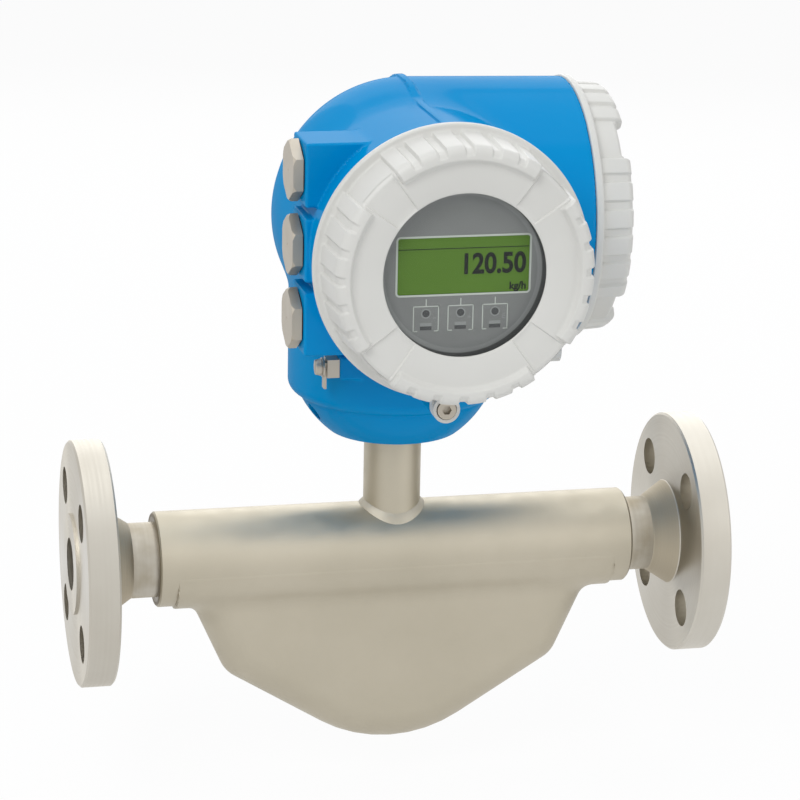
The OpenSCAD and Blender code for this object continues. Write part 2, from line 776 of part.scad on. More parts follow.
set_screw_r = 3;
set_screw_len = 14;
set_screw_turn = 194;       // direction of the housing's set screw round the neck

// Frame of the set screw: +Z runs outward from the spigot's surface.
module set_screw_axis() {
    rotate(set_screw_turn) translate([spigot_r + 0.4, 0, screw_z]) rotate([0, 90, 0]) children();
}

// Socket set screw that locks the housing on its spigot.
module housing_set_screw() {
    color([0.30, 0.30, 0.32]) in_meter() set_screw_axis() difference() {
        cylinder(r = set_screw_r, h = set_screw_len);
        translate([0, 0, set_screw_len - 3]) cylinder(r = 1.7, h = 4, $fn = 6);
    }
}

// ---------------------------------------------------------------- cable entries

// Frame of a cable entry: +Z comes out of the seat towards -X.
module at_entry(i) {
    in_meter() translate([-entry_x, -entry_y, chamber_z + i * entry_pitch]) rotate([0, -90, 0]) children();
}

module blind_plug(i) {
    head_r = plug_af / 2 / cos(30);
    color([0.72, 0.69, 0.63]) at_entry(i) difference() {
        union() {
            translate([0, 0, -plug_shank]) cylinder(r = entry_d / 2 - 0.3, h = plug_shank + washer_t + eps);
            intersection() {
                translate([0, 0, washer_t]) cylinder(r = head_r, h = plug_head_t, $fn = 6);
                translate([0, 0, washer_t]) cylinder(r1 = head_r + 3, r2 = head_r - 1.2, h = plug_head_t);
            }
        }
        translate([0, 0, washer_t + plug_head_t - 0.6]) cylinder(r1 = 0.3, r2 = 1, h = 0.7, $fn = small);
    }
}

module plug_washer(i) {
    color([0.15, 0.15, 0.15]) at_entry(i) ring(plug_af / 2 - 0.4, entry_d / 2 - 0.2, washer_t);
}

module upper_blind_plug() { blind_plug(1); }
module middle_blind_plug() { blind_plug(0); }
module lower_blind_plug() { blind_plug(-1); }
module upper_plug_washer() { plug_washer(1); }
module middle_plug_washer() { plug_washer(0); }
module lower_plug_washer() { plug_washer(-1); }

// ---------------------------------------------------------------- ground terminal

clamp_side = 9;
clamp_t = 6;
ground_screw_r = 2.5;
tab_t = 1.2;

// Frame of the ground terminal: +Z points away from the housing, towards -X.
module at_ground() { in_meter() translate(ground_at) rotate([0, -90, 0]) children(); }

// Square wire clamp with a bent tab under it.
module ground_clamp() {
    color([0.78, 0.74, 0.66]) at_ground() difference() {
        union() {
            translate([-clamp_side / 2, -clamp_side / 2, 0]) cube([clamp_side, clamp_side, clamp_t]);
            translate([-clamp_side / 2 - 6, -2.5, clamp_t - eps]) cube([clamp_side + 4, 5, tab_t]);
        }
        translate([0, 0, -1]) cylinder(r = ground_screw_r + 0.1, h = clamp_t + 3);
    }
}

// Slotted screw with its two washers.
module ground_screw() {
    head_r = 4.2;
    head_t = 2.4;
    top = clamp_t + tab_t;
    color([0.78, 0.74, 0.66]) at_ground() difference() {
        union() {
            cylinder(r = ground_screw_r, h = top);
            translate([0, 0, top]) cylinder(r = head_r + 0.6, h = 0.8);
            translate([0, 0, top + 0.8]) cylinder(r = head_r - 0.6, h = 0.8);
            translate([0, 0, top + 1.6]) cylinder(r1 = head_r, r2 = head_r - 0.6, h = head_t);
        }
        translate([-10, -0.6, top + 1.6 + head_t - 1.2]) cube([20, 1.2, 2]);
    }
}

// ---------------------------------------------------------------- cover clamps

clamp_len = 7.4;            // the clamp stays just behind the cover's lip
clamp_screw_r = 2.5;

module clamp_screw_hole() {
    translate([0, -clamp_drop, lug_front - 13]) cylinder(r = clamp_screw_r + 0.1, h = 20);
}

// Clamp that keeps a cover from turning, drawn in the chamber's frame.
module cover_clamp() {
    difference() {
        translate([0, -clamp_drop, lug_front]) union() {
            cylinder(r = clamp_r, h = clamp_len);
            translate([-clamp_r, 0, 0]) cube([2 * clamp_r, clamp_r - 1, clamp_len - 2.5]);
        }
        translate([0, -clamp_drop, lug_front - 1]) cylinder(r = clamp_screw_r + 0.1, h = 20);
        translate([0, -clamp_drop, lug_front + clamp_len - 3.4]) cylinder(r = 4.9, h = 20);
    }
}

// Socket screw that holds a cover clamp, drawn in the chamber's frame.
module clamp_screw() {
    translate([0, -clamp_drop, lug_front + clamp_len - 3.4]) difference() {
        union() {
            translate([0, 0, -12]) cylinder(r = clamp_screw_r, h = 12 + eps);
            cylinder(r = 4.5, h = 4);
        }
        translate([0, 0, 1.4]) cylinder(r = 2.3, h = 4, $fn = 6);
    }
}

module display_cover_clamp() { color([0.78, 0.78, 0.76]) at_display() cover_clamp(); }
module display_clamp_screw() { color([0.66, 0.65, 0.62]) at_display() clamp_screw(); }
module electronics_cover_clamp() { color([0.78, 0.78, 0.76]) at_side() rotate(-side_lug_turn) cover_clamp(); }
module electronics_clamp_screw() { color([0.66, 0.65, 0.62]) at_side() rotate(-side_lug_turn) clamp_screw(); }

// ---------------------------------------------------------------- inside the housing

module_r = 50;
module_front = -18;
module_len = 42;
post_in = 10;               // distance of a post's axis inside the module's edge
post_r = 4;
board_t = 1.6;
board_notch = 10;

// Electronics cassette on three posts that stand on the partition.
module electronics_module() {
    post_len = side_seat - partition_x - partition_t + module_front - module_len;
    color([0.20, 0.20, 0.22]) at_side() {
        translate([0, 0, module_front - module_len]) cylinder(r = module_r, h = module_len);
        for (i = [0 : 2]) rotate(30 + 120 * i)
            translate([module_r - post_in, 0, module_front - module_len - post_len])
                cylinder(r = post_r, h = post_len + 1);
    }
}

module main_board() {
    color([0.10, 0.35, 0.20]) at_side() translate([0, 0, module_front]) difference() {
        cylinder(r = module_r - 2, h = board_t);
        translate([module_r - board_notch, -board_notch, -1])
            cube([2 * board_notch, 2 * board_notch, board_t + 2]);
    }
}

// Row of screw terminals low in the connection compartment, on the partition's front.
module terminal_block() {
    ways = 6;
    pitch = 6;
    block_h = 18;
    block_t = 14;
    block_drop = 36;        // distance of the block's foot below the chamber axis
    hole_r = 1.8;
    hole_depth = 5;
    back = display_seat + partition_y;
    color([0.16, 0.30, 0.20]) at_display() translate([partition_x + 1, -block_drop, -back]) difference() {
        cube([ways * pitch, block_h, block_t]);
        for (i = [0 : ways - 1]) translate([(i + 0.5) * pitch, block_h * 2 / 3, block_t - hole_depth])
            cylinder(r = hole_r, h = hole_depth + 1, $fn = small);
    }
}

holder_t = 3;
hub_wall = 4;
hub_up = 1;                 // how far the holder's hub stands in front of its plate
hub_down = 4;
pivot_gap = 0.05;
window_hole_r = 8;          // radius of the holder's three openings
window_hole_in = 12;

// Round plate with a bearing hub that the display module turns in.
module display_holder() {
    color([0.16, 0.16, 0.17]) at_display() difference() {
        union() {
            translate([0, 0, holder_z]) cylinder(r = lug_in_r + holder_over, h = holder_t);
            translate([0, 0, holder_z - hub_down])
                cylinder(r = pivot_r + hub_wall, h = hub_down + holder_t + hub_up);
        }
        translate([0, 0, holder_z - hub_down - 1])
            cylinder(r = pivot_r + pivot_gap, h = hub_down + holder_t + hub_up + 2);
        for (i = [0 : 2]) rotate(30 + 120 * i) translate([lug_in_r - window_hole_in, 0, holder_z - 1])
            cylinder(r = window_hole_r, h = holder_t + 2);
    }
}

face_t = 1.5;
ledge_w = 2.5;
face_gap = 2.5;
face_z = glass_back - face_gap;
module_back = face_z - display_depth;
board_z = module_back + 10;
stop_gap = 0.3;
pivot_tail = 10;            // length of the pivot behind the holder's seat
pivot_wall = 4;
collar_w = 3;
nut_t = 3;

// Cup of the display module with its hollow pivot.
module display_module() {
    color([0.30, 0.30, 0.31]) at_display() difference() {
        union() {
            translate([0, 0, module_back]) cylinder(r = display_r, h = display_depth - face_t);
            translate([0, 0, holder_z + holder_t + hub_up + stop_gap])
                cylinder(r = pivot_r + collar_w, h = module_back - holder_z - holder_t - hub_up);
            translate([0, 0, holder_z - pivot_tail])
                cylinder(r = pivot_r, h = module_back - holder_z + pivot_tail);
        }
        translate([0, 0, module_back + 2]) cylinder(r = display_r - 2 * ledge_w, h = display_depth);
        translate([0, 0, board_z]) cylinder(r = display_r - ledge_w, h = display_depth);
        translate([0, 0, holder_z - pivot_tail - 1])
            cylinder(r = pivot_r - pivot_wall, h = module_back - holder_z + pivot_tail + 4);
    }
}

// Nut behind the holder that keeps the display module in its hub.
module display_nut() {
    color([0.70, 0.68, 0.63]) at_display() translate([0, 0, holder_z - hub_down - stop_gap - nut_t])
        ring(pivot_r + collar_w, pivot_r, nut_t);
}

module lcd_outline(grow = 0) {
    translate([lcd_side - lcd_w / 2 - grow, lcd_up - lcd_h / 2 - grow, 0])
        cube([lcd_w + 2 * grow, lcd_h + 2 * grow, display_depth]);
}

key_pitch = 16.3;
key_drop = 19;
key_r = 2.4;
key_depth = 0.4;

// Front plate of the display with the panel's opening and the touch keys' sensor windows.
module display_face() {
    color([0.45, 0.45, 0.45]) at_display() difference() {
        translate([0, 0, face_z - face_t]) cylinder(r = display_r, h = face_t);
        translate([0, 0, face_z - display_depth / 2]) lcd_outline(0.1);
        for (i = [-1 : 1]) translate([i * key_pitch, -key_drop, face_z - key_depth])
            cylinder(r = key_r, h = 2, $fn = small);
    }
}

module lcd_panel() {
    color([0.34, 0.47, 0.20]) at_display() intersection() {
        translate([0, 0, board_z + board_t]) lcd_outline();
        translate([0, 0, board_z + board_t]) cylinder(r = display_r, h = face_z - 0.3 - board_z - board_t);
    }
}

module display_board() {
    color([0.10, 0.35, 0.20]) at_display() translate([0, 0, board_z])
        cylinder(r = display_r - ledge_w - 0.2, h = board_t);
}

// ---------------------------------------------------------------- covers

cover_taper = (cover_side_r - cover_front_r) / (display_cover_h - grip_rise - cover_lip_t);
grip_end = 6.5;             // angle of the two plain ends of a grip zone together
grip_zone = grip_grooves * grip_step + grip_end;
grip_in_r = 52.2;           // foot of a grip zone's inner step
grip_draft = 2.2;
groove_z = cover_lip_t + 0.6;
groove_flare = 0.9;
groove_run_out = 0.3;       // depth of a groove where it leaves the rounded edge
seal_groove_r = skirt_r - 2.6;
seal_groove_z = -3;
oring_r = 1;
oring_gap = 0.4;

function side_r_at(z) = cover_side_r - cover_taper * (z - cover_lip_t);

// Section of a groove whose floor lies `depth` inside x = 0.
module groove_section(depth) {
    polygon([[-depth, -groove_w / 2], [1, -groove_w / 2 - groove_flare],
             [1, groove_w / 2 + groove_flare], [-depth, groove_w / 2]]);
}

// Cutter of one groove: up the side and over the rounded front edge.
module groove_cutter(h) {
    edge_foot_r = side_r_at(h - grip_round) + grip_proud;
    edge_run = edge_foot_r - side_r_at(h) - grip_proud + grip_round;
    translate([side_r_at(groove_z) + grip_proud, 0, groove_z]) rotate([0, -atan(cover_taper), 0])
        linear_extrude(h) groove_section(groove_depth);
    translate([edge_foot_r, 0, h - grip_round]) rotate([0, -atan(edge_run / grip_round), 0])
        linear_extrude(norm([edge_run, grip_round])) groove_section(groove_run_out);
}

// Outer form of a cover of height h. z = 0 is its seat on the housing.
module cover_outside(h) {
    top = h - grip_rise;
    grip_top_r = side_r_at(h) + grip_proud;
    difference() {
        union() {
            rotate_extrude() polygon([
                [0, 0], [cover_lip_r - 0.6, 0], [cover_lip_r, 0.6], [cover_lip_r, cover_lip_t - 1],
                [cover_lip_r - 1, cover_lip_t], [cover_side_r, cover_lip_t],
                [side_r_at(top - 2), top - 2], [side_r_at(top) - 2, top], [0, top]]);
            for (i = [0 : grip_zones - 1]) rotate(360 / grip_zones * i - grip_zone / 2)
                rotate_extrude(angle = grip_zone) polygon([
                    [grip_in_r - grip_draft, top - grip_rise], [grip_in_r + grip_draft, h],
                    [grip_top_r - grip_round, h], [grip_top_r - grip_round / 3, h - grip_round / 3],
                    [side_r_at(h - grip_round) + grip_proud, h - grip_round],
                    [side_r_at(cover_lip_t - 1) + grip_proud, cover_lip_t - 1],
                    [cover_side_r - 6, cover_lip_t - 1]]);
        }
        for (i = [0 : grip_zones - 1], j = [0 : grip_grooves - 1])
            rotate(360 / grip_zones * i + (j - (grip_grooves - 1) / 2) * grip_step) groove_cutter(h);
        for (i = [0 : grip_zones - 1]) rotate(360 / grip_zones * (i + 0.5) - sector_a / 2)
            rotate_extrude(angle = sector_a) polygon([
                [window_r - 1, top - sector_depth], [cover_side_r, top - sector_depth],
                [cover_side_r, top + 1], [window_r - 1, top + 1]]);
    }
}

// Threaded skirt of a cover with its O-ring groove.
module cover_skirt() {
    difference() {
        translate([0, 0, -skirt_len]) cylinder(r = skirt_r, h = skirt_len + 1);
        translate([0, 0, seal_groove_z - 1.5]) ring(skirt_r + 2, seal_groove_r, 3);
    }
}

module cover_oring() {
    rotate_extrude() translate([seal_groove_r + oring_r + oring_gap, seal_groove_z])
        circle(r = oring_r, $fn = small);
}

ring_len = 4;
ring_r = glass_r + 2;

module display_cover() {
    color([0.80, 0.80, 0.78]) at_display() difference() {
        union() {
            cover_outside(display_cover_h);
            cover_skirt();
        }
        translate([0, 0, -skirt_len - 1]) cylinder(r = skirt_in_r, h = skirt_len + glass_back - ring_len);
        translate([0, 0, -1]) cylinder(r = ring_r, h = glass_back + 1);
        translate([0, 0, -1]) cylinder(r = glass_r + 0.2, h = seat_z + 1);
        cylinder(r = window_r, h = 2 * display_cover_h);
    }
}

module cover_window() {
    color([0.85, 0.90, 0.90, 0.35]) at_display() translate([0, 0, glass_back])
        cylinder(r = glass_r, h = glass_t);
}

module window_seal() {
    color([0.12, 0.12, 0.12]) at_display() translate([0, 0, glass_back + glass_t])
        ring(glass_r, window_r + 0.6, gasket_t);
}

// Threaded ring that presses the glass against its gasket.
module window_ring() {
    color([0.60, 0.59, 0.57]) at_display() translate([0, 0, glass_back - ring_len])
        ring(ring_r - 0.1, display_r + 0.8, ring_len);
}

module display_cover_seal() { color([0.10, 0.10, 0.10]) at_display() cover_oring(); }

module electronics_cover() {
    roof = 5;
    color([0.80, 0.80, 0.78]) at_side() difference() {
        union() {
            cover_outside(side_cover_h);
            cover_skirt();
        }
        translate([0, 0, -skirt_len - 1])
            cylinder(r = skirt_in_r, h = skirt_len + 1 + side_cover_h - grip_rise - roof);
    }
}

module electronics_cover_seal() { color([0.10, 0.10, 0.10]) at_side() cover_oring(); }

// ---------------------------------------------------------------- drawing

inlet_flange();
outlet_flange();
inlet_splitter();
outlet_splitter();
measuring_tube_front();
measuring_tube_rear();
inlet_brace();
outlet_brace();
sensor_tube();
sensor_shell();
drive_coil();
drive_magnet();
inlet_pickoff_coil();
inlet_pickoff_magnet();
outlet_pickoff_coil();
outlet_pickoff_magnet();
temperature_sensor();
sensor_cable();
neck_tube();
neck_spigot();
neck_seal();
neck_feedthrough();
transmitter_housing();
housing_set_screw();
upper_blind_plug();
middle_blind_plug();
lower_blind_plug();
upper_plug_washer();
middle_plug_washer();
lower_plug_washer();
ground_clamp();
ground_screw();
display_cover_clamp();
display_clamp_screw();
electronics_cover_clamp();
electronics_clamp_screw();
electronics_module();
main_board();
terminal_block();
display_holder();
display_nut();
display_cover_seal();
display_cover();
cover_window();
window_seal();
window_ring();
electronics_cover_seal();
electronics_cover();
display_module();
display_face();
lcd_panel();
display_board();
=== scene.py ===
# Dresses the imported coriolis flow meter: cast and pressed forms with soft fillets, finishes, the display's
# print, a pale studio and the camera.
import math

import bpy
import numpy as np
from mathutils import Matrix, Vector


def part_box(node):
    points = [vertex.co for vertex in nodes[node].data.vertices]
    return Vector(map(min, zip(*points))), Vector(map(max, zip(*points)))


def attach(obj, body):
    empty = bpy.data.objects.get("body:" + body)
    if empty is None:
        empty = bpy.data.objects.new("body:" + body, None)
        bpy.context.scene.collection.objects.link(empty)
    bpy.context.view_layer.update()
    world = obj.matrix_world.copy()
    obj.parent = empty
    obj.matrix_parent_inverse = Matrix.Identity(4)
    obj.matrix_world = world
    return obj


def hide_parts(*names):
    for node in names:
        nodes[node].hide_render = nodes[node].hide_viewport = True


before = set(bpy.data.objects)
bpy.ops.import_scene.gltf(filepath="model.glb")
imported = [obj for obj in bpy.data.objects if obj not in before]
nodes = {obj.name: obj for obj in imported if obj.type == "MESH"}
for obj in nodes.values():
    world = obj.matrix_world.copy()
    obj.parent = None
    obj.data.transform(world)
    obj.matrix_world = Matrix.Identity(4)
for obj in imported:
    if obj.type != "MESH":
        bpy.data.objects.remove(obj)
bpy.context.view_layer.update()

MM = 0.001


def box_mm(node):
    """Corners of a CAD node's box in millimetres."""
    low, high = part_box(node)
    return np.array(low) / MM, np.array(high) / MM


def shifted(x, y, z):
    return Matrix.Translation(Vector((x, y, z)))


def rotated(degrees, axis):
    return Matrix.Rotation(math.radians(degrees), 4, axis)


# ---------------------------------------------------------------- places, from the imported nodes

tube_low, tube_high = box_mm("sensor_tube")
MID_X = (tube_low[0] + tube_high[0]) / 2
SENSOR_R = (tube_high[1] - tube_low[1]) / 2
TUBE_END = (tube_high[0] - tube_low[0]) / 2

SKIRT_LEN = 12.0
cover_low, cover_high = box_mm("display_cover")
side_low, side_high = box_mm("electronics_cover")
LIP_R = (cover_high[0] - cover_low[0]) / 2
CHAMBER_Z = (cover_low[2] + cover_high[2]) / 2
DISPLAY_COVER_H = cover_high[1] - cover_low[1] - SKIRT_LEN
SIDE_COVER_H = side_high[0] - side_low[0] - SKIRT_LEN
DISPLAY_SEAT = -(cover_high[1] - SKIRT_LEN)
SIDE_SEAT = side_low[0] + SKIRT_LEN - MID_X
SIDE_Y = (side_low[1] + side_high[1]) / 2
housing_low = box_mm("transmitter_housing")[0]
HOUSING_Z = housing_low[2]
ENTRY_X = MID_X - housing_low[0]
FACE_Y = box_mm("display_face")[0][1]

# the meter's frame: x along the pipe from the middle, z up from the pipe's axis
AT_METER = shifted(MID_X, 0, 0)
# the display chamber's frame: x right, y up, z out of the cover, from its seat
AT_DISPLAY = shifted(MID_X, -DISPLAY_SEAT, CHAMBER_Z) @ rotated(90, "X")
# the electronics chamber's frame: x to the back, y up, z out of the cover, from its seat
AT_SIDE = shifted(MID_X + SIDE_SEAT, SIDE_Y, CHAMBER_Z) @ Matrix(
    ((0, 0, 1, 0), (1, 0, 0, 0), (0, 1, 0, 0), (0, 0, 0, 1)))


def in_metres(points_mm, at):
    """World points in metres from points in millimetres in the frame `at`."""
    m = np.array(at, float)
    return (np.asarray(points_mm, float) @ m[:3, :3].T + m[:3, 3]) * MM


def new_object(name, points_mm, faces, at, smooth=True, sharp=None):
    """A mesh object from points in millimetres in the frame `at`; edges over `sharp` degrees stay hard."""
    faces = faces if isinstance(faces, list) else faces.tolist()
    mesh = bpy.data.meshes.new(name)
    mesh.from_pydata(in_metres(points_mm, at).tolist(), [], faces)
    mesh.validate()
    mesh.polygons.foreach_set("use_smooth", [smooth] * len(mesh.polygons))
    if sharp is not None:
        mesh.set_sharp_from_angle(angle=math.radians(sharp))
    obj = bpy.data.objects.new(name, mesh)
    bpy.context.scene.collection.objects.link(obj)
    return obj


def finish_piece(obj, body, slot, material, *replaced):
    """Gives a piece its material and body, and hides the CAD nodes that it stands in for. Its slot is not
    used.
    """
    obj.data.materials.clear()
    obj.data.materials.append(material)
    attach(obj, body)
    if replaced:
        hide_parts(*replaced)


# ---------------------------------------------------------------- nodes of a material

def node_tree(name):
    """A new material with its node tree and its main shader."""
    m = bpy.data.materials.new(name)
    m.use_nodes = True
    t = m.node_tree
    return m, t, t.nodes["Principled BSDF"]


def add(t, kind, **settings):
    n = t.nodes.new(kind)
    for key, value in settings.items():
        setattr(n, key, value)
    return n


def feed(t, socket, value):
    """Gives a socket another node's output, a colour or a number."""
    if isinstance(value, bpy.types.NodeSocket):
        t.links.new(value, socket)
    elif isinstance(value, tuple):
        socket.default_value = (*value, 1)
    else:
        socket.default_value = value


def maths(t, operation, *values):
    n = add(t, "ShaderNodeMath", operation=operation)
    for socket, value in zip(n.inputs, values):
        feed(t, socket, value)
    return n.outputs[0]


def mixed(t, factor, a, b):
    """Blend from a to b, each a colour or another node's output."""
    n = add(t, "ShaderNodeMix", data_type="RGBA")
    for socket, value in ((n.inputs["Factor"], factor), (n.inputs[6], a), (n.inputs[7], b)):
        feed(t, socket, value)
    return n.outputs[2]


def mixed_shaders(t, factor, a, b, output):
    """Sends the blend from shader a to shader b to the named output node."""
    n = add(t, "ShaderNodeMixShader")
    for socket, value in zip(n.inputs, (factor, a.outputs[0], b.outputs[0])):
        feed(t, socket, value)
    t.links.new(n.outputs[0], t.nodes[output].inputs["Surface"])


def object_coords(t):
    return add(t, "ShaderNodeTexCoord").outputs["Object"]


def noise(t, vector, scale, detail):
    n = add(t, "ShaderNodeTexNoise")
    n.inputs["Scale"].default_value = scale
    n.inputs["Detail"].default_value = detail
    t.links.new(vector, n.inputs["Vector"])
    return n.outputs["Fac"]


def spread(t, value, low, high):
    """Maps the middle of a noise's range to low..high."""
    n = add(t, "ShaderNodeMapRange")
    n.inputs["From Min"].default_value = 0.3
    n.inputs["From Max"].default_value = 0.7
    n.inputs["To Min"].default_value = low
    n.inputs["To Max"].default_value = high
    t.links.new(value, n.inputs["Value"])
    return n.outputs["Result"]


def cloudy(t, vector, scale, detail, a, b):
    """Soft clouds of two colours."""
    return mixed(t, spread(t, noise(t, vector, scale, detail), 0, 1), a, b)


def roughen(t, shader, vector, scale, detail, low, high):
    """Lets a shader's roughness wander between low and high."""
    t.links.new(spread(t, noise(t, vector, scale, detail), low, high), shader.inputs["Roughness"])


def bump(t, bsdf, height, strength, distance):
    n = add(t, "ShaderNodeBump")
    n.inputs["Strength"].default_value = strength
    n.inputs["Distance"].default_value = distance
    t.links.new(height, n.inputs["Height"])
    t.links.new(n.outputs["Normal"], bsdf.inputs["Normal"])


def apart(t, vector):
    n = add(t, "ShaderNodeSeparateXYZ")
    t.links.new(vector, n.inputs[0])
    return n.outputs


def paired(t, x, y):
    n = add(t, "ShaderNodeCombineXYZ")
    t.links.new(x, n.inputs["X"])
    t.links.new(y, n.inputs["Y"])
    return n.outputs[0]


def beyond(t, vector, near, far):
    """0 up to `near` mm along the pipe from the meter's middle, 1 from `far` mm."""
    away = maths(t, "ABSOLUTE", maths(t, "SUBTRACT", apart(t, vector)["X"], MID_X * MM))
    n = add(t, "ShaderNodeMapRange")
    n.inputs["From Min"].default_value = near * MM
    n.inputs["From Max"].default_value = far * MM
    t.links.new(away, n.inputs["Value"])
    return n.outputs["Result"]


def sees_white(t):
    """1 for rays that show the white studio: the camera's, and those off metal and through glass."""
    path = add(t, "ShaderNodeLightPath")
    seen = path.outputs["Is Camera Ray"]
    for kind in ("Is Glossy Ray", "Is Transmission Ray"):
        seen = maths(t, "MAXIMUM", seen, path.outputs[kind])
    return seen


# ---------------------------------------------------------------- materials

# painted shade: colour of the tube's and splitters' end faces, which lie in shadow inside the flanges
END_FACE_SHADE = (0.210, 0.175, 0.120)
DISC_AT, HUB_AT = 147.0, 135.0                 # where a flange's disc and hub begin, from the meter's middle
FACE_R = 41.0                                  # the display front's radius, where its colours end


def coated(name, light, dark, rough, coat, peel=0.25, shine=0.4):
    """Sprayed or plain finish with a fine peel and a faint change of tone."""
    m, t, b = node_tree(name)
    v = object_coords(t)
    feed(t, b.inputs["Base Color"], cloudy(t, v, 18, 2, dark, light))
    roughen(t, b, v, 60, 2, rough - 0.04, rough + 0.04)
    b.inputs["Specular IOR Level"].default_value = shine
    b.inputs["Coat Weight"].default_value = coat
    b.inputs["Coat Roughness"].default_value = 0.13
    bump(t, b, noise(t, v, 900, 2), peel, 0.00006)
    return m


def steel(name, light, dark, rough, grain, strength, metallic=1.0, shade_at=None):
    """Blasted or cast metal with clouds and a fine grain; beyond the given number of mm from the middle, its
    end faces get painted shade.
    """
    m, t, b = node_tree(name)
    v = object_coords(t)
    tone = cloudy(t, v, 14, 4, dark, light)
    # painted shade on the end faces beyond the given distance from the middle
    if shade_at:
        tone = mixed(t, beyond(t, v, shade_at - 0.3, shade_at), tone, END_FACE_SHADE)
    feed(t, b.inputs["Base Color"], tone)
    roughen(t, b, v, 90, 3, rough - 0.05, rough + 0.05)
    b.inputs["Metallic"].default_value = metallic
    bump(t, b, noise(t, v, grain, 2), strength, 0.00008)
    return m


def turned(name, light, dark, hub, rough, pitch, strength):
    """Metal turned about the pipe axis: rings on faces, lines round rims, a duller hub behind the disc."""
    m, t, b = node_tree(name)
    v = object_coords(t)
    parts = apart(t, v)
    radius = add(t, "ShaderNodeVectorMath", operation="LENGTH")
    t.links.new(paired(t, parts["Y"], parts["Z"]), radius.inputs[0])
    ring = paired(t, parts["X"], radius.outputs["Value"])
    on_disc = beyond(t, v, DISC_AT - 0.6, DISC_AT - 0.1)
    behind = mixed(t, beyond(t, v, HUB_AT - 0.5, HUB_AT + 0.5), cloudy(t, v, 60, 3, hub, dark), hub)
    feed(t, b.inputs["Base Color"], mixed(t, on_disc, behind, cloudy(t, v, 20, 3, dark, light)))
    grain = spread(t, noise(t, ring, pitch / 3, 2), rough + 0.06, rough + 0.18)
    feed(t, b.inputs["Roughness"], maths(t, "MULTIPLY_ADD", on_disc, -0.12, grain))
    b.inputs["Metallic"].default_value = 1.0
    b.inputs["Anisotropic"].default_value = 0.85
    round_axis = add(t, "ShaderNodeTangent", direction_type="RADIAL", axis="X")
    t.links.new(round_axis.outputs[0], b.inputs["Tangent"])
    bump(t, b, noise(t, ring, pitch, 2), strength, 0.00006)
    return m


def display_front():
    """Display front: a grey disc, lighter towards its edge as painted light against the shading there, with a
    pale ring on its bevel and painted shade in the gap beyond it.
    """
    m, t, b = node_tree("display_grey")
    v = object_coords(t)
    away = add(t, "ShaderNodeVectorMath", operation="DISTANCE")
    away.inputs[1].default_value = (MID_X * MM, FACE_Y * MM, CHAMBER_Z * MM)
    t.links.new(v, away.inputs[0])
    ramp = add(t, "ShaderNodeValToRGB")
    t.links.new(maths(t, "MULTIPLY", away.outputs["Value"], 1 / (FACE_R * MM)), ramp.inputs[0])
    stops = ramp.color_ramp.elements
    grey = (0.210, 0.210, 0.208, 1)
    stops[0].position, stops[0].color = 0.0, grey
    stops[1].position, stops[1].color = 0.720, grey
    # painted light and shade: the rise towards the edge, the pale bevel ring, then painted shade in the gap
    # by the window's rim
    for share, tone in ((0.870, 0.250), (0.885, 0.330), (0.925, 0.340), (0.937, 0.115), (1.0, 0.110)):
        stops.new(share).color = (tone, tone, tone, 1)
    t.links.new(ramp.outputs["Color"], b.inputs["Base Color"])
    roughen(t, b, v, 80, 2, 0.42, 0.50)
    bump(t, b, noise(t, v, 1500, 2), 0.1, 0.00004)
    return m


def window_glass():
    """Clear window: see-through with a thin reflection on its outer faces."""
    m, t, b = node_tree("window_glass")
    t.nodes.remove(b)
    clear = add(t, "ShaderNodeBsdfTransparent")
    feed(t, clear.inputs["Color"], (0.965, 0.975, 0.970))
    gloss = add(t, "ShaderNodeBsdfGlossy")
    feed(t, gloss.inputs["Color"], (0.9, 0.9, 0.9))
    roughen(t, gloss, object_coords(t), 30, 2, 0.03, 0.06)
    fresnel = add(t, "ShaderNodeFresnel")
    fresnel.inputs["IOR"].default_value = 1.12
    inner = add(t, "ShaderNodeNewGeometry").outputs["Backfacing"]
    outer_shine = maths(t, "MAXIMUM", maths(t, "SUBTRACT", fresnel.outputs[0], inner), 0.0)
    mixed_shaders(t, outer_shine, clear, gloss, "Material Output")
    return m


BLUE = coated("housing_blue", (0.0, 0.266, 0.590), (0.0, 0.248, 0.560), 0.42, 0.16, 0.20, 0.0)
GREY = coated("cover_grey", (0.650, 0.645, 0.612), (0.615, 0.610, 0.578), 0.45, 0.05)
# the sensor tube's end face gets painted shade
BLASTED = steel("blasted_steel", (0.514, 0.469, 0.376), (0.463, 0.422, 0.333), 0.47, 1400, 0.35, 0.85,
                TUBE_END - 0.1)
WELD = steel("weld_bead", (0.510, 0.472, 0.391), (0.425, 0.387, 0.310), 0.55, 500, 0.9, 0.80)
FLANGE = turned("flange_steel", (0.590, 0.562, 0.500), (0.528, 0.496, 0.432), (0.387, 0.340, 0.258),
                0.36, 2600, 0.10)
# the splitters' ends get painted shade
SPLITTER = steel("splitter_steel", (0.510, 0.497, 0.468), (0.459, 0.446, 0.416), 0.36, 1200, 0.15, 1.0,
                 TUBE_END - 0.6)
INNER = steel("inner_steel", (0.510, 0.497, 0.468), (0.459, 0.446, 0.416), 0.32, 1200, 0.15)
NICKEL = steel("nickel", (0.488, 0.448, 0.380), (0.440, 0.400, 0.336), 0.44, 1500, 0.15, 0.8)
DARK_STEEL = steel("dark_steel", (0.093, 0.093, 0.098), (0.072, 0.072, 0.076), 0.38, 1500, 0.15, 0.9)
RUBBER = coated("seal_rubber", (0.020, 0.020, 0.020), (0.014, 0.014, 0.014), 0.60, 0.0)
COPPER = steel("copper", (0.640, 0.300, 0.150), (0.560, 0.250, 0.120), 0.35, 1500, 0.2)
MAGNET = steel("magnet", (0.330, 0.330, 0.340), (0.280, 0.280, 0.290), 0.32, 1500, 0.15)
CERAMIC = coated("ceramic", (0.700, 0.690, 0.640), (0.640, 0.630, 0.580), 0.40, 0.2)
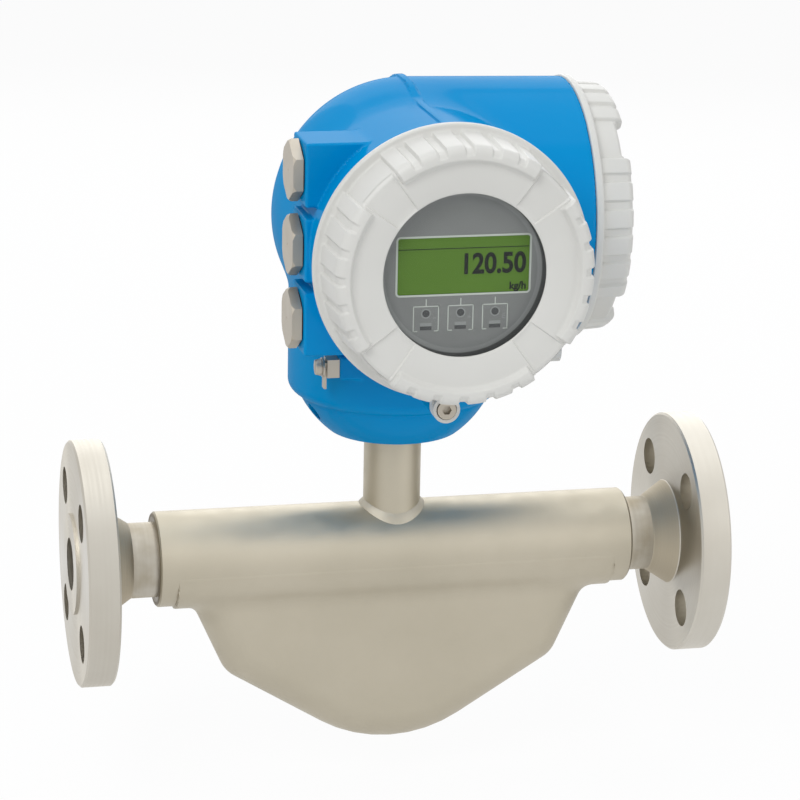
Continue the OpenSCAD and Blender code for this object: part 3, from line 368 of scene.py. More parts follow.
BLACK = coated("module_black", (0.034, 0.034, 0.036), (0.026, 0.026, 0.028), 0.45, 0.0)
BOARD = coated("board_green", (0.012, 0.105, 0.045), (0.008, 0.085, 0.036), 0.35, 0.3)
CABLE = coated("cable_black", (0.030, 0.030, 0.032), (0.022, 0.022, 0.024), 0.50, 0.0)
LCD = coated("lcd_green", (0.108, 0.204, 0.033), (0.102, 0.196, 0.031), 0.55, 0.0, 0.05, 0.2)
INK = coated("lcd_ink", (0.006, 0.008, 0.006), (0.005, 0.006, 0.005), 0.50, 0.0, 0.05)
PRINT = coated("print_grey", (0.560, 0.580, 0.540), (0.530, 0.550, 0.510), 0.50, 0.0, 0.05)
FAINT = coated("print_faint", (0.300, 0.305, 0.300), (0.280, 0.285, 0.280), 0.50, 0.0, 0.05)
SMOKE_RING = coated("window_ring_grey", (0.105, 0.105, 0.108), (0.095, 0.095, 0.098), 0.40, 0.1, 0.05)
SMOKE = coated("smoked_window", (0.075, 0.075, 0.078), (0.065, 0.065, 0.068), 0.30, 0.1, 0.05)
FACE = display_front()
GLASS = window_glass()

FINISHES = (
    (FLANGE, "inlet_flange outlet_flange"),
    (SPLITTER, "inlet_splitter outlet_splitter"),
    (INNER, "measuring_tube_front measuring_tube_rear inlet_brace outlet_brace neck_spigot neck_feedthrough "
            "display_nut"),
    (BLASTED, "sensor_tube sensor_shell neck_tube"),
    (COPPER, "drive_coil inlet_pickoff_coil outlet_pickoff_coil"),
    (MAGNET, "drive_magnet inlet_pickoff_magnet outlet_pickoff_magnet"),
    (CERAMIC, "temperature_sensor"),
    (CABLE, "sensor_cable"),
    (BLUE, "transmitter_housing"),
    (DARK_STEEL, "housing_set_screw"),
    (NICKEL, "upper_blind_plug middle_blind_plug lower_blind_plug ground_clamp ground_screw "
             "display_clamp_screw electronics_clamp_screw"),
    (RUBBER, "neck_seal upper_plug_washer middle_plug_washer lower_plug_washer display_cover_seal "
             "window_seal electronics_cover_seal"),
    (GREY, "display_cover electronics_cover display_cover_clamp electronics_cover_clamp"),
    (BLACK, "electronics_module display_holder display_module"),
    (BOARD, "main_board terminal_block display_board"),
    (GLASS, "cover_window"),
    (SMOKE_RING, "window_ring"),
    (FACE, "display_face"),
    (LCD, "lcd_panel"),
)
finish_of = {node: material for material, names in FINISHES for node in names.split()}
for node_name, obj in nodes.items():
    obj.data.materials.clear()
    obj.data.materials.append(finish_of[node_name])


# ---------------------------------------------------------------- distance fields

def soft_min(a, b, k):
    """Union of two fields with a fillet about k mm wide."""
    h = np.clip(0.5 + 0.5 * (b - a) / k, 0, 1)
    return b + (a - b) * h - k * h * (1 - h)


def soft_max(a, b, k):
    """Common part of two fields with its edge rounded over about k mm."""
    return -soft_min(-a, -b, k)


def smooth_step(t):
    t = np.clip(t, 0, 1)
    return t * t * (3 - 2 * t)


def length2(a, b):
    return np.sqrt(a * a + b * b)


def rounded_rod(radial, along, r, half, edge):
    """Distance to a disc of radius r and half-length half with rounded edges."""
    dx = radial - (r - edge)
    dz = np.abs(along) - (half - edge)
    return length2(np.maximum(dx, 0), np.maximum(dz, 0)) + np.minimum(np.maximum(dx, dz), 0) - edge


def rounded_box(x, y, z, half, edge):
    """Distance to a box of the half sizes `half` with rounded edges."""
    dx, dy, dz = np.abs(x) - (half[0] - edge), np.abs(y) - (half[1] - edge), np.abs(z) - (half[2] - edge)
    out = np.sqrt(np.maximum(dx, 0) ** 2 + np.maximum(dy, 0) ** 2 + np.maximum(dz, 0) ** 2)
    return out + np.minimum(np.maximum(dx, np.maximum(dy, dz)), 0) - edge


def gradient(field, p):
    e = 0.02
    steps = e * np.eye(3)
    return np.stack([field(*(p + step).T) - field(*(p - step).T) for step in steps], 1) / (2 * e)


def step_to(field, p):
    """How far the points p lie from the field's surface, as a vector of 0.6 mm at most."""
    g = gradient(field, p)
    f = field(*p.T)
    move = f[:, None] * g / np.maximum((g * g).sum(1), 0.05)[:, None]
    far = np.linalg.norm(move, axis=1)
    return move * np.minimum(1, 0.6 / np.maximum(far, 1e-9))[:, None]


def net(field, low, high, step):
    """Surface of field = 0 as points and quads: one point in each cell that it crosses, drawn onto it."""
    axes = [np.arange(a, b + step, step, dtype=np.float32) for a, b in zip(low, high)]
    nx, ny, nz = (len(a) for a in axes)
    values = np.empty((nx, ny, nz), np.float32)
    slab = 16
    for i in range(0, nx, slab):
        values[i:i + slab] = field(*np.meshgrid(axes[0][i:i + slab], axes[1], axes[2], indexing="ij"))
    inside = values < 0
    corners = [(i, j, k) for i in (0, 1) for j in (0, 1) for k in (0, 1)]

    def part(array, c):
        return array[c[0]:nx - 1 + c[0], c[1]:ny - 1 + c[1], c[2]:nz - 1 + c[2]]

    count = sum(part(inside, c).astype(np.int8) for c in corners)
    active = (count > 0) & (count < 8)
    cell = np.argwhere(active)
    index = np.full(active.shape, -1, np.int64)
    index[active] = np.arange(len(cell))
    total = np.zeros((len(cell), 3))
    hits = np.zeros(len(cell))
    for a in corners:
        for axis in range(3):
            if a[axis]:
                continue
            b = list(a)
            b[axis] = 1
            va = values[cell[:, 0] + a[0], cell[:, 1] + a[1], cell[:, 2] + a[2]]
            vb = values[cell[:, 0] + b[0], cell[:, 1] + b[1], cell[:, 2] + b[2]]
            cross = (va < 0) != (vb < 0)
            t = np.where(cross, va / np.where(cross, va - vb, 1), 0)
            p = np.array(a, float)[None, :] + t[:, None] * np.eye(3)[axis][None, :]
            total[cross] += p[cross]
            hits[cross] += 1
    points = np.array([a[0] for a in axes]) + step * (cell + total / hits[:, None])
    quads = []
    for axis in range(3):
        u, v = [(1, 2), (2, 0), (0, 1)][axis]
        starts, ends = [slice(None)] * 3, [slice(None)] * 3
        starts[axis], ends[axis] = slice(0, -1), slice(1, None)
        a, b = inside[tuple(starts)], inside[tuple(ends)]
        change = np.argwhere(a != b)
        ok = (change[:, u] > 0) & (change[:, v] > 0)
        for w in (u, v):
            ok &= change[:, w] < active.shape[w]
        change = change[ok]
        outward = a[tuple(change.T)]
        ring = []
        for du, dv in ((-1, -1), (0, -1), (0, 0), (-1, 0)):
            c = change.copy()
            c[:, u] += du
            c[:, v] += dv
            ring.append(index[tuple(c.T)])
        q = np.stack(ring, 1)
        q[~outward] = q[~outward][:, ::-1]
        quads.append(q)
    for _ in range(4):
        points = points - step_to(field, points)
    return points, np.concatenate(quads)


def shade_by(obj, field, at):
    """Sets the shading normals of a field's mesh from the field itself, apart from cut faces."""
    mesh = obj.data
    co = np.empty(len(mesh.vertices) * 3, np.float32)
    mesh.vertices.foreach_get("co", co)
    inverse = np.array(at.inverted(), float)
    p = co.reshape(-1, 3).astype(float) / MM @ inverse[:3, :3].T + inverse[:3, 3]
    g = gradient(field, p)
    g /= np.maximum(np.linalg.norm(g, axis=1), 1e-9)[:, None]
    on = np.abs(field(*p.T)) < 0.05
    world = g @ np.array(at, float)[:3, :3].T
    loops = np.empty(len(mesh.loops), np.int32)
    mesh.loops.foreach_get("vertex_index", loops)
    face_normal = np.empty(len(mesh.polygons) * 3, np.float32)
    mesh.polygons.foreach_get("normal", face_normal)
    corners = np.empty(len(mesh.polygons), np.int32)
    mesh.polygons.foreach_get("loop_total", corners)
    flat = np.repeat(face_normal.reshape(-1, 3), corners, axis=0)
    smooth = world[loops]
    use = on[loops] & ((flat * smooth).sum(1) > 0.8)
    mesh.normals_split_custom_set(np.where(use[:, None], smooth, flat).tolist())


# ---------------------------------------------------------------- transmitter housing

BOWL_R, BOWL_H, BOWL_FLAT_R = 47.6, 20.0, 32.3
BOWL_EDGE = BOWL_H - 1.5
BOWL_MID = (BOWL_EDGE ** 2 + BOWL_R ** 2 - BOWL_FLAT_R ** 2) / (2 * BOWL_EDGE)
BALL_R = math.hypot(BOWL_FLAT_R, BOWL_MID)
BODY_R, BODY_CORNER_R = 53.5, 6.0
DISPLAY_R, SIDE_R, DRAFT = 60.5, 66.5, 1.5     # the two chambers, and how far the barrel narrows to its seat
DOME_X = 3.5                                   # where the dome meets the barrel
ENTRY_Y, ENTRY_PITCH, BOSS_ROOT = 68.0, 35.8, 12.0
BOSS_HALF_W, BOSS_HALF_H, BOSS_EDGE = 15.5, 15.3, 1.2
ROWS = (-1, 0, 1)                              # the three cable entries, and the three keys
RIB_X, RIB_HALF_W, RIB_H = 1.0, 1.9, 1.3
CLAMP_DROP, CLAMP_R = LIP_R + 6.3, 6.5
LUG_MID, LUG_HALF = 17.0, 9.0                  # back from a chamber's seat
SIDE_LUG_TURN = -6                             # degrees round from straight below
PAD_X, PAD_Y, PAD_UP, PAD_HALF = -32.0, -41.5, 45.0, 6.0


def lug(u, v, w):
    """Clamp lug in a chamber's own frame."""
    block = rounded_box(u, v + CLAMP_DROP - 10, w + LUG_MID, (CLAMP_R, 10, LUG_HALF), 1.2)
    nose = rounded_rod(length2(u, v + CLAMP_DROP), w + LUG_MID, CLAMP_R, LUG_HALF, 1.2)
    return np.minimum(block, nose)


def lower_housing(x, y, z):
    """The bowl, a slice of a ball, under the round lower body."""
    radial = length2(x, y)
    ball = np.sqrt(x * x + y * y + (z - HOUSING_Z - BOWL_MID) ** 2) - BALL_R
    bowl = soft_max(soft_max(ball, radial - BOWL_R, 1.0), HOUSING_Z - z, 1.0)
    bowl = np.maximum(bowl, z - HOUSING_Z - BOWL_H - BODY_CORNER_R)
    half = (CHAMBER_Z - 10 - HOUSING_Z - BOWL_H) / 2
    body = rounded_rod(radial, z - (HOUSING_Z + BOWL_H + half), BODY_R, half, BODY_CORNER_R)
    return soft_min(bowl, body, 1.6)


def chambers(x, y, dy, dz):
    """The display chamber across the electronics chamber, which a dome closes."""
    dome = np.sqrt((x - DOME_X) ** 2 + dy * dy + dz * dz) - SIDE_R
    draft = SIDE_R - DRAFT * np.clip((x - DOME_X) / (SIDE_SEAT - DOME_X), 0, 1)
    barrel = np.maximum(length2(dy, dz) - draft, DOME_X - x)
    side = soft_max(np.minimum(dome, barrel), x - SIDE_SEAT, 0.8)
    front = rounded_rod(length2(x, dz), y + DISPLAY_SEAT / 2, DISPLAY_R, DISPLAY_SEAT / 2, 0.8)
    return soft_min(front, side, 7.0)


def casting_rib(x, y, z, dy, dz):
    """The rib over both chambers, in the plane between their rooms."""
    disc = length2(dy, dz) - (SIDE_R + RIB_H)
    strip = np.maximum(np.abs(dz) - (DISPLAY_R + RIB_H), np.maximum(1 - DISPLAY_SEAT - y, y - SIDE_Y))
    rib = np.maximum(np.minimum(disc, strip), CHAMBER_Z + 10 - z)
    return soft_max(rib, np.abs(x - RIB_X) - RIB_HALF_W, 0.6)


def housing_field(x, y, z):
    dy, dz = y - SIDE_Y, z - CHAMBER_Z
    casting = soft_min(chambers(x, y, dy, dz), lower_housing(x, y, z), 5.0)
    half = (ENTRY_X - BOSS_ROOT) / 2
    bosses = [rounded_box(x + BOSS_ROOT + half, y + ENTRY_Y, dz - i * ENTRY_PITCH,
                          (half, BOSS_HALF_W, BOSS_HALF_H), BOSS_EDGE) for i in ROWS]
    casting = soft_min(casting, np.minimum.reduce(bosses), 1.4)
    casting = soft_min(casting, casting_rib(x, y, z, dy, dz), 1.0)
    casting = soft_min(casting, lug(x, dz, -y - DISPLAY_SEAT), 2.5)
    c, s = math.cos(math.radians(SIDE_LUG_TURN)), math.sin(math.radians(SIDE_LUG_TURN))
    casting = soft_min(casting, lug(dy * c + dz * s, -dy * s + dz * c, x - SIDE_SEAT), 2.5)
    pad = rounded_box(x - PAD_X, y - PAD_Y, z - (HOUSING_Z + PAD_UP), (PAD_HALF,) * 3, 1.5)
    return soft_min(casting, pad, 2.0)


def cutter(at, r, z0, z1, n=128):
    """A rod along z in the frame `at`, to cut with."""
    a = np.linspace(0, 2 * math.pi, n, endpoint=False)
    ring = np.stack([r * np.cos(a), r * np.sin(a)], 1)
    points = np.concatenate([np.c_[ring, np.full(n, z0)], np.c_[ring, np.full(n, z1)]])
    faces = [[i, (i + 1) % n, n + (i + 1) % n, n + i] for i in range(n)]
    faces += [list(range(n - 1, -1, -1)), list(range(n, 2 * n))]
    return new_object("cutter", points, faces, at, smooth=False)


def carve(obj, cutters):
    """Takes the cutters out of a piece, for good."""
    for c in cutters:
        mod = obj.modifiers.new(c.name, "BOOLEAN")
        mod.operation = "DIFFERENCE"
        mod.solver = "MANIFOLD"
        mod.object = c
    bpy.context.view_layer.update()
    shown = obj.evaluated_get(bpy.context.evaluated_depsgraph_get())
    mesh = bpy.data.meshes.new_from_object(shown)
    obj.modifiers.clear()
    obj.data = mesh
    for c in cutters:
        bpy.data.objects.remove(c)


points, quads = net(housing_field, (-70, -116, 60), (86, 64, 250), 1.25)
housing = new_object("housing_casting", points, quads, AT_METER)
screw_low, screw_high = box_mm("housing_set_screw")
SET_SCREW_TURN, SET_SCREW_TIP = 194, 22.4      # degrees round the neck, and mm out from its axis
AT_SET_SCREW = (shifted(MID_X, 0, (screw_low[2] + screw_high[2]) / 2) @ rotated(SET_SCREW_TURN, "Z")
                @ shifted(SET_SCREW_TIP, 0, 0) @ rotated(90, "Y"))
AT_CLAMP_SCREWS = (AT_DISPLAY @ shifted(0, -CLAMP_DROP, 0),
                   AT_SIDE @ rotated(SIDE_LUG_TURN, "Z") @ shifted(0, -CLAMP_DROP, 0))
MOUTH_R = 55.0                                 # the threaded mouth of either chamber
DISPLAY_ROOM_DEPTH, END_ROOM_R, END_ROOM_DEPTH = 105.0, 44.0, 150
SIDE_MOUTH_DEPTH, SIDE_ROOM_R, SIDE_ROOM_DEPTH = 16, 59.8, 73.5
NECK_SOCKET_R, NECK_SOCKET_TOP = 22.05, 92
ENTRY_R, ENTRY_DEPTH = 10.0, 30
CLAMP_HOLE_R, CLAMP_HOLE_DEPTH = 2.6, 21
SET_HOLE_R, SET_HEAD_R, SET_HEAD_FROM = 3.1, 4.2, 15
OVER, OVERLAP = 2.0, 0.1                       # how far a cutter runs out of the casting, or into another cut
carve(housing, [
    cutter(AT_DISPLAY, MOUTH_R, -DISPLAY_ROOM_DEPTH, OVER),
    cutter(AT_SIDE, MOUTH_R, -SIDE_MOUTH_DEPTH, OVER),
    cutter(AT_SIDE, SIDE_ROOM_R, -SIDE_ROOM_DEPTH, -SIDE_MOUTH_DEPTH + OVERLAP),
    cutter(AT_METER, NECK_SOCKET_R, HOUSING_Z - OVER, NECK_SOCKET_TOP),
    cutter(AT_DISPLAY, END_ROOM_R, -END_ROOM_DEPTH, -DISPLAY_ROOM_DEPTH + OVERLAP),
] + [
    cutter(AT_METER @ shifted(-ENTRY_X, -ENTRY_Y, CHAMBER_Z + i * ENTRY_PITCH) @ rotated(-90, "Y"),
           ENTRY_R, -ENTRY_DEPTH, OVER, 64) for i in ROWS
] + [
    cutter(AT_CLAMP_SCREWS[0], CLAMP_HOLE_R, -CLAMP_HOLE_DEPTH, OVER, 32),
    cutter(AT_SET_SCREW, SET_HOLE_R, -OVER, 50, 48),
    cutter(AT_SET_SCREW, SET_HEAD_R, SET_HEAD_FROM, 60, 48),
    cutter(AT_CLAMP_SCREWS[1], CLAMP_HOLE_R, -CLAMP_HOLE_DEPTH, OVER, 32),
])
shade_by(housing, housing_field, AT_METER)
finish_piece(housing, "housing_body", "housing_blue", BLUE, "transmitter_housing")


# ---------------------------------------------------------------- pressed sensor shell

shell_low = box_mm("sensor_shell")[0]
SHELL_R, SHELL_WALL = 16.75, 1.5
SHELL_GRID_Z = shell_low[2] - 4
BOTTOM_R = 70.0
BOTTOM_Z = BOTTOM_R + shell_low[2]
SHOULDER, KNEE = (91.0, -10.0), (73.0, -50.0)
COLLAR_END, COLLAR_H, COLLAR_DEPTH = 113.5, 1.4, 14.0


def bottom_point(degrees):
    """A point of the core on the shell's round bottom."""
    a = math.radians(degrees)
    return (BOTTOM_R - SHELL_R) * math.sin(a), BOTTOM_Z - (BOTTOM_R - SHELL_R) * math.cos(a)


# core of the shell seen from the front: a ball of the shell's edge radius rolls over it
CORE = [(-SHOULDER[0], SHOULDER[1]), (-KNEE[0], KNEE[1]),
        *[bottom_point(degrees) for degrees in range(-32, 33, 8)], KNEE, SHOULDER]


def core_distance(x, z):
    """Distance in the plane to the core, which runs anticlockwise; zero inside it."""
    best = np.inf
    outside = -np.inf
    for (ax, az), (bx, bz) in zip(CORE, CORE[1:] + CORE[:1]):
        ex, ez = bx - ax, bz - az
        n = math.hypot(ex, ez)
        t = np.clip(((x - ax) * ex + (z - az) * ez) / (n * n), 0, 1)
        best = np.minimum(best, length2(x - ax - t * ex, z - az - t * ez))
        outside = np.maximum(outside, (x - ax) * ez - (z - az) * ex)
    return np.where(outside < 0, 0, best)


def pillow(x, y, z, r):
    """Distance to all that a ball of radius r covers as it rolls over the core."""
    return length2(core_distance(x, z), y) - r


def shell_field(x, y, z):
    """The pillow and, along the tube, the collar that grows out of the tube's side."""
    radial = length2(y, z)
    collar = radial - (SENSOR_R + 0.05 + (COLLAR_H - 0.05) * smooth_step((-z - 4) / 12))
    collar = soft_max(collar, np.abs(x) - COLLAR_END, 0.8)
    joined = soft_min(collar, pillow(x, y, z, SHELL_R), 5.0)
    joined = np.maximum(joined, radial - (SENSOR_R + COLLAR_H + 200 * np.clip(-z - COLLAR_DEPTH, 0, 1)))
    return soft_max(joined, z + 2.0, 0.3)


def shell_room(x, y, z):
    """The closed room in the shell, a wall's thickness inside the pillow."""
    return soft_max(pillow(x, y, z, SHELL_R - SHELL_WALL), z + 12.0, 0.5)


points, quads = net(shell_field, (-118, -30, SHELL_GRID_Z), (118, 30, 3), 1.4)
room_points, room_quads = net(shell_room, (-112, -20, SHELL_GRID_Z), (112, 20, -8), 3.0)
shell = new_object("pressed_shell", np.concatenate([points, room_points]),
                   np.concatenate([quads, room_quads[:, ::-1] + len(points)]), AT_METER, sharp=50)
finish_piece(shell, "sensor_body", "blasted_steel", BLASTED, "sensor_shell")


# ---------------------------------------------------------------- neck and its weld

neck_low, neck_high = box_mm("neck_tube")
BEAD, NECK_WALL = 2.4, 2.6
NECK_R = (neck_high[0] - neck_low[0]) / 2 - BEAD
NECK_BORE = NECK_R - NECK_WALL
around = np.linspace(0, 2 * math.pi, 192, endpoint=False)


def saddle(r, proud=0.0):
    """Heights round the neck, at radius r, of the sensor tube's surface or of one `proud` of it."""
    return np.sqrt((SENSOR_R + proud) ** 2 - (r * np.sin(around)) ** 2)


def row(r, z):
    """Points once round the neck at radius r and the height or heights z."""
    return np.stack([r * np.cos(around), r * np.sin(around), z + 0 * around], 1)


def ring_piece(name, rows, sharp, material, *replaced):
    """Closed ring round the neck from rows of points, each row once round."""
    n, m = len(around), len(rows)
    faces = [[k * n + (i + 1) % n, k * n + i, (k + 1) % m * n + i, (k + 1) % m * n + (i + 1) % n]
             for k in range(m) for i in range(n)]
    obj = new_object(name, np.concatenate(rows), faces, AT_METER, sharp=sharp)
    finish_piece(obj, "sensor_body", "blasted_steel", material, *replaced)


ring_piece("neck_pipe", [row(NECK_R, neck_high[2]), row(NECK_R, saddle(NECK_R)),
                         row(NECK_BORE, saddle(NECK_BORE)), row(NECK_BORE, neck_high[2])],
           40, BLASTED, "neck_tube")

TOE, ROOT, SUNK = NECK_R + BEAD, NECK_R - 0.4, 0.3
bead_rows = []
for share in np.arange(9) / 8:
    bulge = 0.1 * math.sin(math.pi * share)
    r = min(NECK_R + 0.02 + BEAD * share + bulge, TOE)
    bead_rows.append(row(r, saddle(NECK_R, BEAD) * (1 - share) + saddle(TOE) * share + bulge))
bead_rows += [row(TOE - SUNK, saddle(TOE - SUNK) - SUNK), row(ROOT, saddle(ROOT) - SUNK),
              row(ROOT, saddle(NECK_R, BEAD) - 0.2)]
ring_piece("neck_weld", bead_rows, 25, WELD)


# ---------------------------------------------------------------- covers

COVER_FACETS = 960
SKIRT_IN_R, SKIRT_R, SEAL_R = 50.5, 54.6, 52.0
FLANK_R, RIM_R = 61.0, 59.4                    # the side between the grips, at the lip and at the front edge
LIP_H = 4.0
GRIP_UP, GRIP_OUT = 3.0, 1.5                   # how far a grip zone stands up and out
GRIP_IN_R = 54.9                               # where it ends on the front
GRIP_SPAN, SUNK_FROM = 34.9, 35.6              # degrees from a grip zone's middle
GROOVES, GROOVE_PITCH, GROOVE_DEPTH = range(-2, 3), 12.5, 1.5
GROOVE_AT_R, GROOVE_HALF_W, GROOVE_SIDE = 62, 1.5, 1.2
SUNK_DEPTH = 0.9
WINDOW_R, GLASS_R, RING_R = 38.3, 44.4, 46.2
SEAT_GAP = 0.06                                # keeps a cover's seat clear of the housing's
ROOF_T = 5.0


def cover_profiles(h, windowed):
    """Matching rows of a cover's profile, between the grip zones and on them.

    A row holds r, z, the groove's share along r and along z, and the share of the sunk sectors.
    """
    top = h - GRIP_UP
    taper = (FLANK_R - RIM_R) / (DISPLAY_COVER_H - GRIP_UP - LIP_H)
    edge, grip_edge_r, grip_edge_h = 2.3, 4.3, 4.0
    between, on_grip = [], []

    def flank(z):
        return FLANK_R - taper * (z - LIP_H)

    def both(a, b=None, share=0.0, lean=0.0, sunk=0.0):
        shares = (share * math.cos(lean), share * math.sin(lean), sunk)
        between.append((*a, *shares))
        on_grip.append((*(b or a), *shares))

    # skirt with its seal groove, seat and lip
    for a in ((SKIRT_IN_R, -SKIRT_LEN), (SKIRT_R - 0.6, -SKIRT_LEN), (SKIRT_R, -11.4), (SKIRT_R, -4.5),
              (SEAL_R, -4.5), (SEAL_R, -1.5), (SKIRT_R, -1.5), (SKIRT_R, SEAT_GAP), (65.2, SEAT_GAP),
              (65.6, 0.3), (65.7, 0.9), (65.7, 2.9), (65.5, 3.5), (65.0, 3.9), (64.4, LIP_H)):
        both(a)
    # foot of the side
    both((62.8, 4.0), (63.6, 4.05))
    both((61.7, 4.15), (63.0, 4.3))
    both((61.2, 4.5), (62.6, 4.7), 0.4)
    both((flank(5.1), 5.1), (flank(5.3) + GRIP_OUT, 5.3), 0.9)
    # side
    low, high, grip_high = 6.0, top - 2.5, h - 4.1
    for i in range(9):
        z, zg = low + (high - low) * i / 8, low + (grip_high - low) * i / 8
        both((flank(z), z), (flank(zg) + GRIP_OUT, zg), 1.0)
    # round edge to the front
    edge_at = flank(top - edge) - edge
    grip_edge_at = flank(h - grip_edge_h) + GRIP_OUT - grip_edge_r
    for i in range(1, 9):
        a = math.radians(90 * i / 8)
        both((edge_at + edge * math.cos(a), top - edge + edge * math.sin(a)),
             (grip_edge_at + grip_edge_r * math.cos(a), h - grip_edge_h + grip_edge_h * math.sin(a)),
             1.0 - 0.6 * (i / 8) ** 2, a, 1)
    # front, with the grips' inner ends
    for f, share in ((0.2, 0.1), (0.4, 0.0), (0.8, 0.0), (1.0, 0.0)):
        both((edge_at + (GRIP_IN_R - edge_at) * f, top), (grip_edge_at + (GRIP_IN_R - grip_edge_at) * f, h),
             share, math.pi / 2, 1)
    for r, rise in ((54.4, 2.88), (54.0, 2.5), (52.9, 0.5), (52.4, 0.1), (51.8, 0.0)):
        both((r, top), (r, top + rise), 0, 0, 1)
    if windowed:
        # dished front, window opening, and the rebate that holds glass and gasket
        for r, drop, sunk in (
                (50.0, 0.0, 1), (47.0, 0.06, 1), (44.0, 0.25, 1), (41.0, 0.62, 1), (39.4, 0.86, 0.5),
                (38.8, 0.98, 0), (38.5, 1.1, 0), (WINDOW_R, 1.35, 0), (WINDOW_R, 2.0, 0), (GLASS_R, 2.0, 0),
                (GLASS_R, 6.0, 0), (RING_R, 6.0, 0), (RING_R, 11.0, 0), (SKIRT_IN_R, 11.0, 0)):
            both((r, top - drop), None, 0, 0, sunk)
    else:
        for r in (48, 44, 38, 30, 20, 10):
            both((r, top), None, 0, 0, 1 if r > 38 else 0)
    return np.array(between), np.array(on_grip)


def cover(name, node, body, h, windowed, at):
    """A cover cast with four grip zones of five grooves and a sunk sector between each two."""
    between, on_grip = cover_profiles(h, windowed)
    n, m = COVER_FACETS, len(between)
    degrees = np.arange(n) * 360.0 / n
    a = (degrees + 45) % 90 - 45
    grip = smooth_step(GRIP_SPAN - np.abs(a))[:, None]
    sunk = smooth_step((np.abs(a) - SUNK_FROM) / 0.8)[:, None]
    groove = np.zeros(n)
    for j in GROOVES:
        across = np.abs(a - j * GROOVE_PITCH) * math.pi / 180 * GROOVE_AT_R
        groove = np.maximum(groove, 1 - smooth_step((across - GROOVE_HALF_W) / GROOVE_SIDE))
    groove = groove[:, None] * GROOVE_DEPTH
    profile = between[None] * (1 - grip[..., None]) + on_grip[None] * grip[..., None]
    r = profile[..., 0] - groove * profile[..., 2]
    z = profile[..., 1] - groove * profile[..., 3] - SUNK_DEPTH * sunk * profile[..., 4]
    t = np.radians(degrees)[:, None]
    points = np.stack([r * np.cos(t), r * np.sin(t), z], 2).reshape(-1, 3)
    i, k = np.meshgrid(np.arange(n), np.arange(m if windowed else m - 1), indexing="ij")
    i1, k1 = (i + 1) % n, (k + 1) % m
    faces = np.stack([i * m + k, i1 * m + k, i1 * m + k1, i * m + k1], -1).reshape(-1, 4).tolist()
    if not windowed:
        top = h - GRIP_UP
        roof = top - ROOF_T
        inside = np.concatenate([SKIRT_IN_R * np.cos(t), SKIRT_IN_R * np.sin(t), np.full((n, 1), roof)], 1)
        points = np.concatenate([points, [[0, 0, top], [0, 0, roof]], inside])
        front, back, base = n * m, n * m + 1, n * m + 2
        for q in range(n):
            q1 = (q + 1) % n
            faces += [[q * m + m - 1, q1 * m + m - 1, front], [base + q, base + q1, q1 * m, q * m],
                      [base + q1, base + q, back]]
    obj = new_object(name, points, faces, at, sharp=38)
    finish_piece(obj, body, "cover_grey", GREY, node)


for node, height, windowed, at in (("display_cover", DISPLAY_COVER_H, True, AT_DISPLAY),
                                   ("electronics_cover", SIDE_COVER_H, False, AT_SIDE)):
    cover(f"{node}_casting", node, f"{node}_body", height, windowed, at)


# ---------------------------------------------------------------- display contents

FACE_Z = -FACE_Y - DISPLAY_SEAT
lcd_low, lcd_high = box_mm("lcd_panel")
LCD_FRONT = -lcd_low[1] - DISPLAY_SEAT
LCD_X, LCD_Y = (lcd_low[0] + lcd_high[0]) / 2 - MID_X, (lcd_low[2] + lcd_high[2]) / 2 - CHAMBER_Z
LCD_W, LCD_H = lcd_high[0] - lcd_low[0], lcd_high[2] - lcd_low[2]
LEFT, RIGHT, TOP = LCD_X - LCD_W / 2, LCD_X + LCD_W / 2, LCD_Y + LCD_H / 2
CAPITAL = 0.72                                 # a capital's share of the lettering's size


def display_piece(name, points, faces, material, slot):
    obj = new_object(name, points, faces, AT_DISPLAY, smooth=False)
    finish_piece(obj, "display_body", slot, material)


def bars(name, rects, z, t, material, slot):
    """Thin printed bars: rects are (x0, y0, x1, y1) in the display frame."""
    points, faces = [], []
    for x0, y0, x1, y1 in rects:
        s = len(points)
        points += [(x, y, h) for h in (z, z + t) for x, y in ((x0, y0), (x1, y0), (x1, y1), (x0, y1))]
        faces += [[s + 3, s + 2, s + 1, s], [s + 4, s + 5, s + 6, s + 7]]
        faces += [[s + i, s + (i + 1) % 4, s + 4 + (i + 1) % 4, s + 4 + i] for i in range(4)]
    display_piece(name, points, faces, material, slot)


def outline(name, r, line, z, t, material, slot):
    """A thin rounded frame round the liquid crystal panel."""
    edges = []
    for grow in (0, line):
        ring = []
        for qx, qy, start in ((1, 1, 0), (-1, 1, 90), (-1, -1, 180), (1, -1, 270)):
            for a in np.radians(start + np.arange(0, 91, 15)):
                ring.append((LCD_X + qx * (LCD_W / 2 - r) + (r + grow) * math.cos(a),
                             LCD_Y + qy * (LCD_H / 2 - r) + (r + grow) * math.sin(a)))
        edges.append(ring)
    n = len(ring)
    points = [(x, y, h) for h in (z, z + t) for ring in edges for x, y in ring]
    faces = []
    for i in range(n):
        j = (i + 1) % n
        faces += [[2 * n + i, 3 * n + i, 3 * n + j, 2 * n + j], [i, j, n + j, n + i],
                  [2 * n + j, j, i, 2 * n + i], [3 * n + i, n + i, n + j, 3 * n + j]]
    display_piece(name, points, faces, material, slot)


def rings(name, centres, r0, r1, z, t, material, slot):
    """Flat rings about the centres, in one piece."""
    points, faces, n = [], [], 32
    for cx, cy in centres:
        s = len(points)
        for r, h in ((r0, z + t), (r1, z + t), (r1, z), (r0, z)):
            points += [(cx + r * math.cos(2 * math.pi * q / n), cy + r * math.sin(2 * math.pi * q / n), h)
                       for q in range(n)]
        for k in range(4):
            a, b = s + k * n, s + (k + 1) % 4 * n
            faces += [[a + q, b + q, b + (q + 1) % n, a + (q + 1) % n] for q in range(n)]
    display_piece(name, points, faces, material, slot)


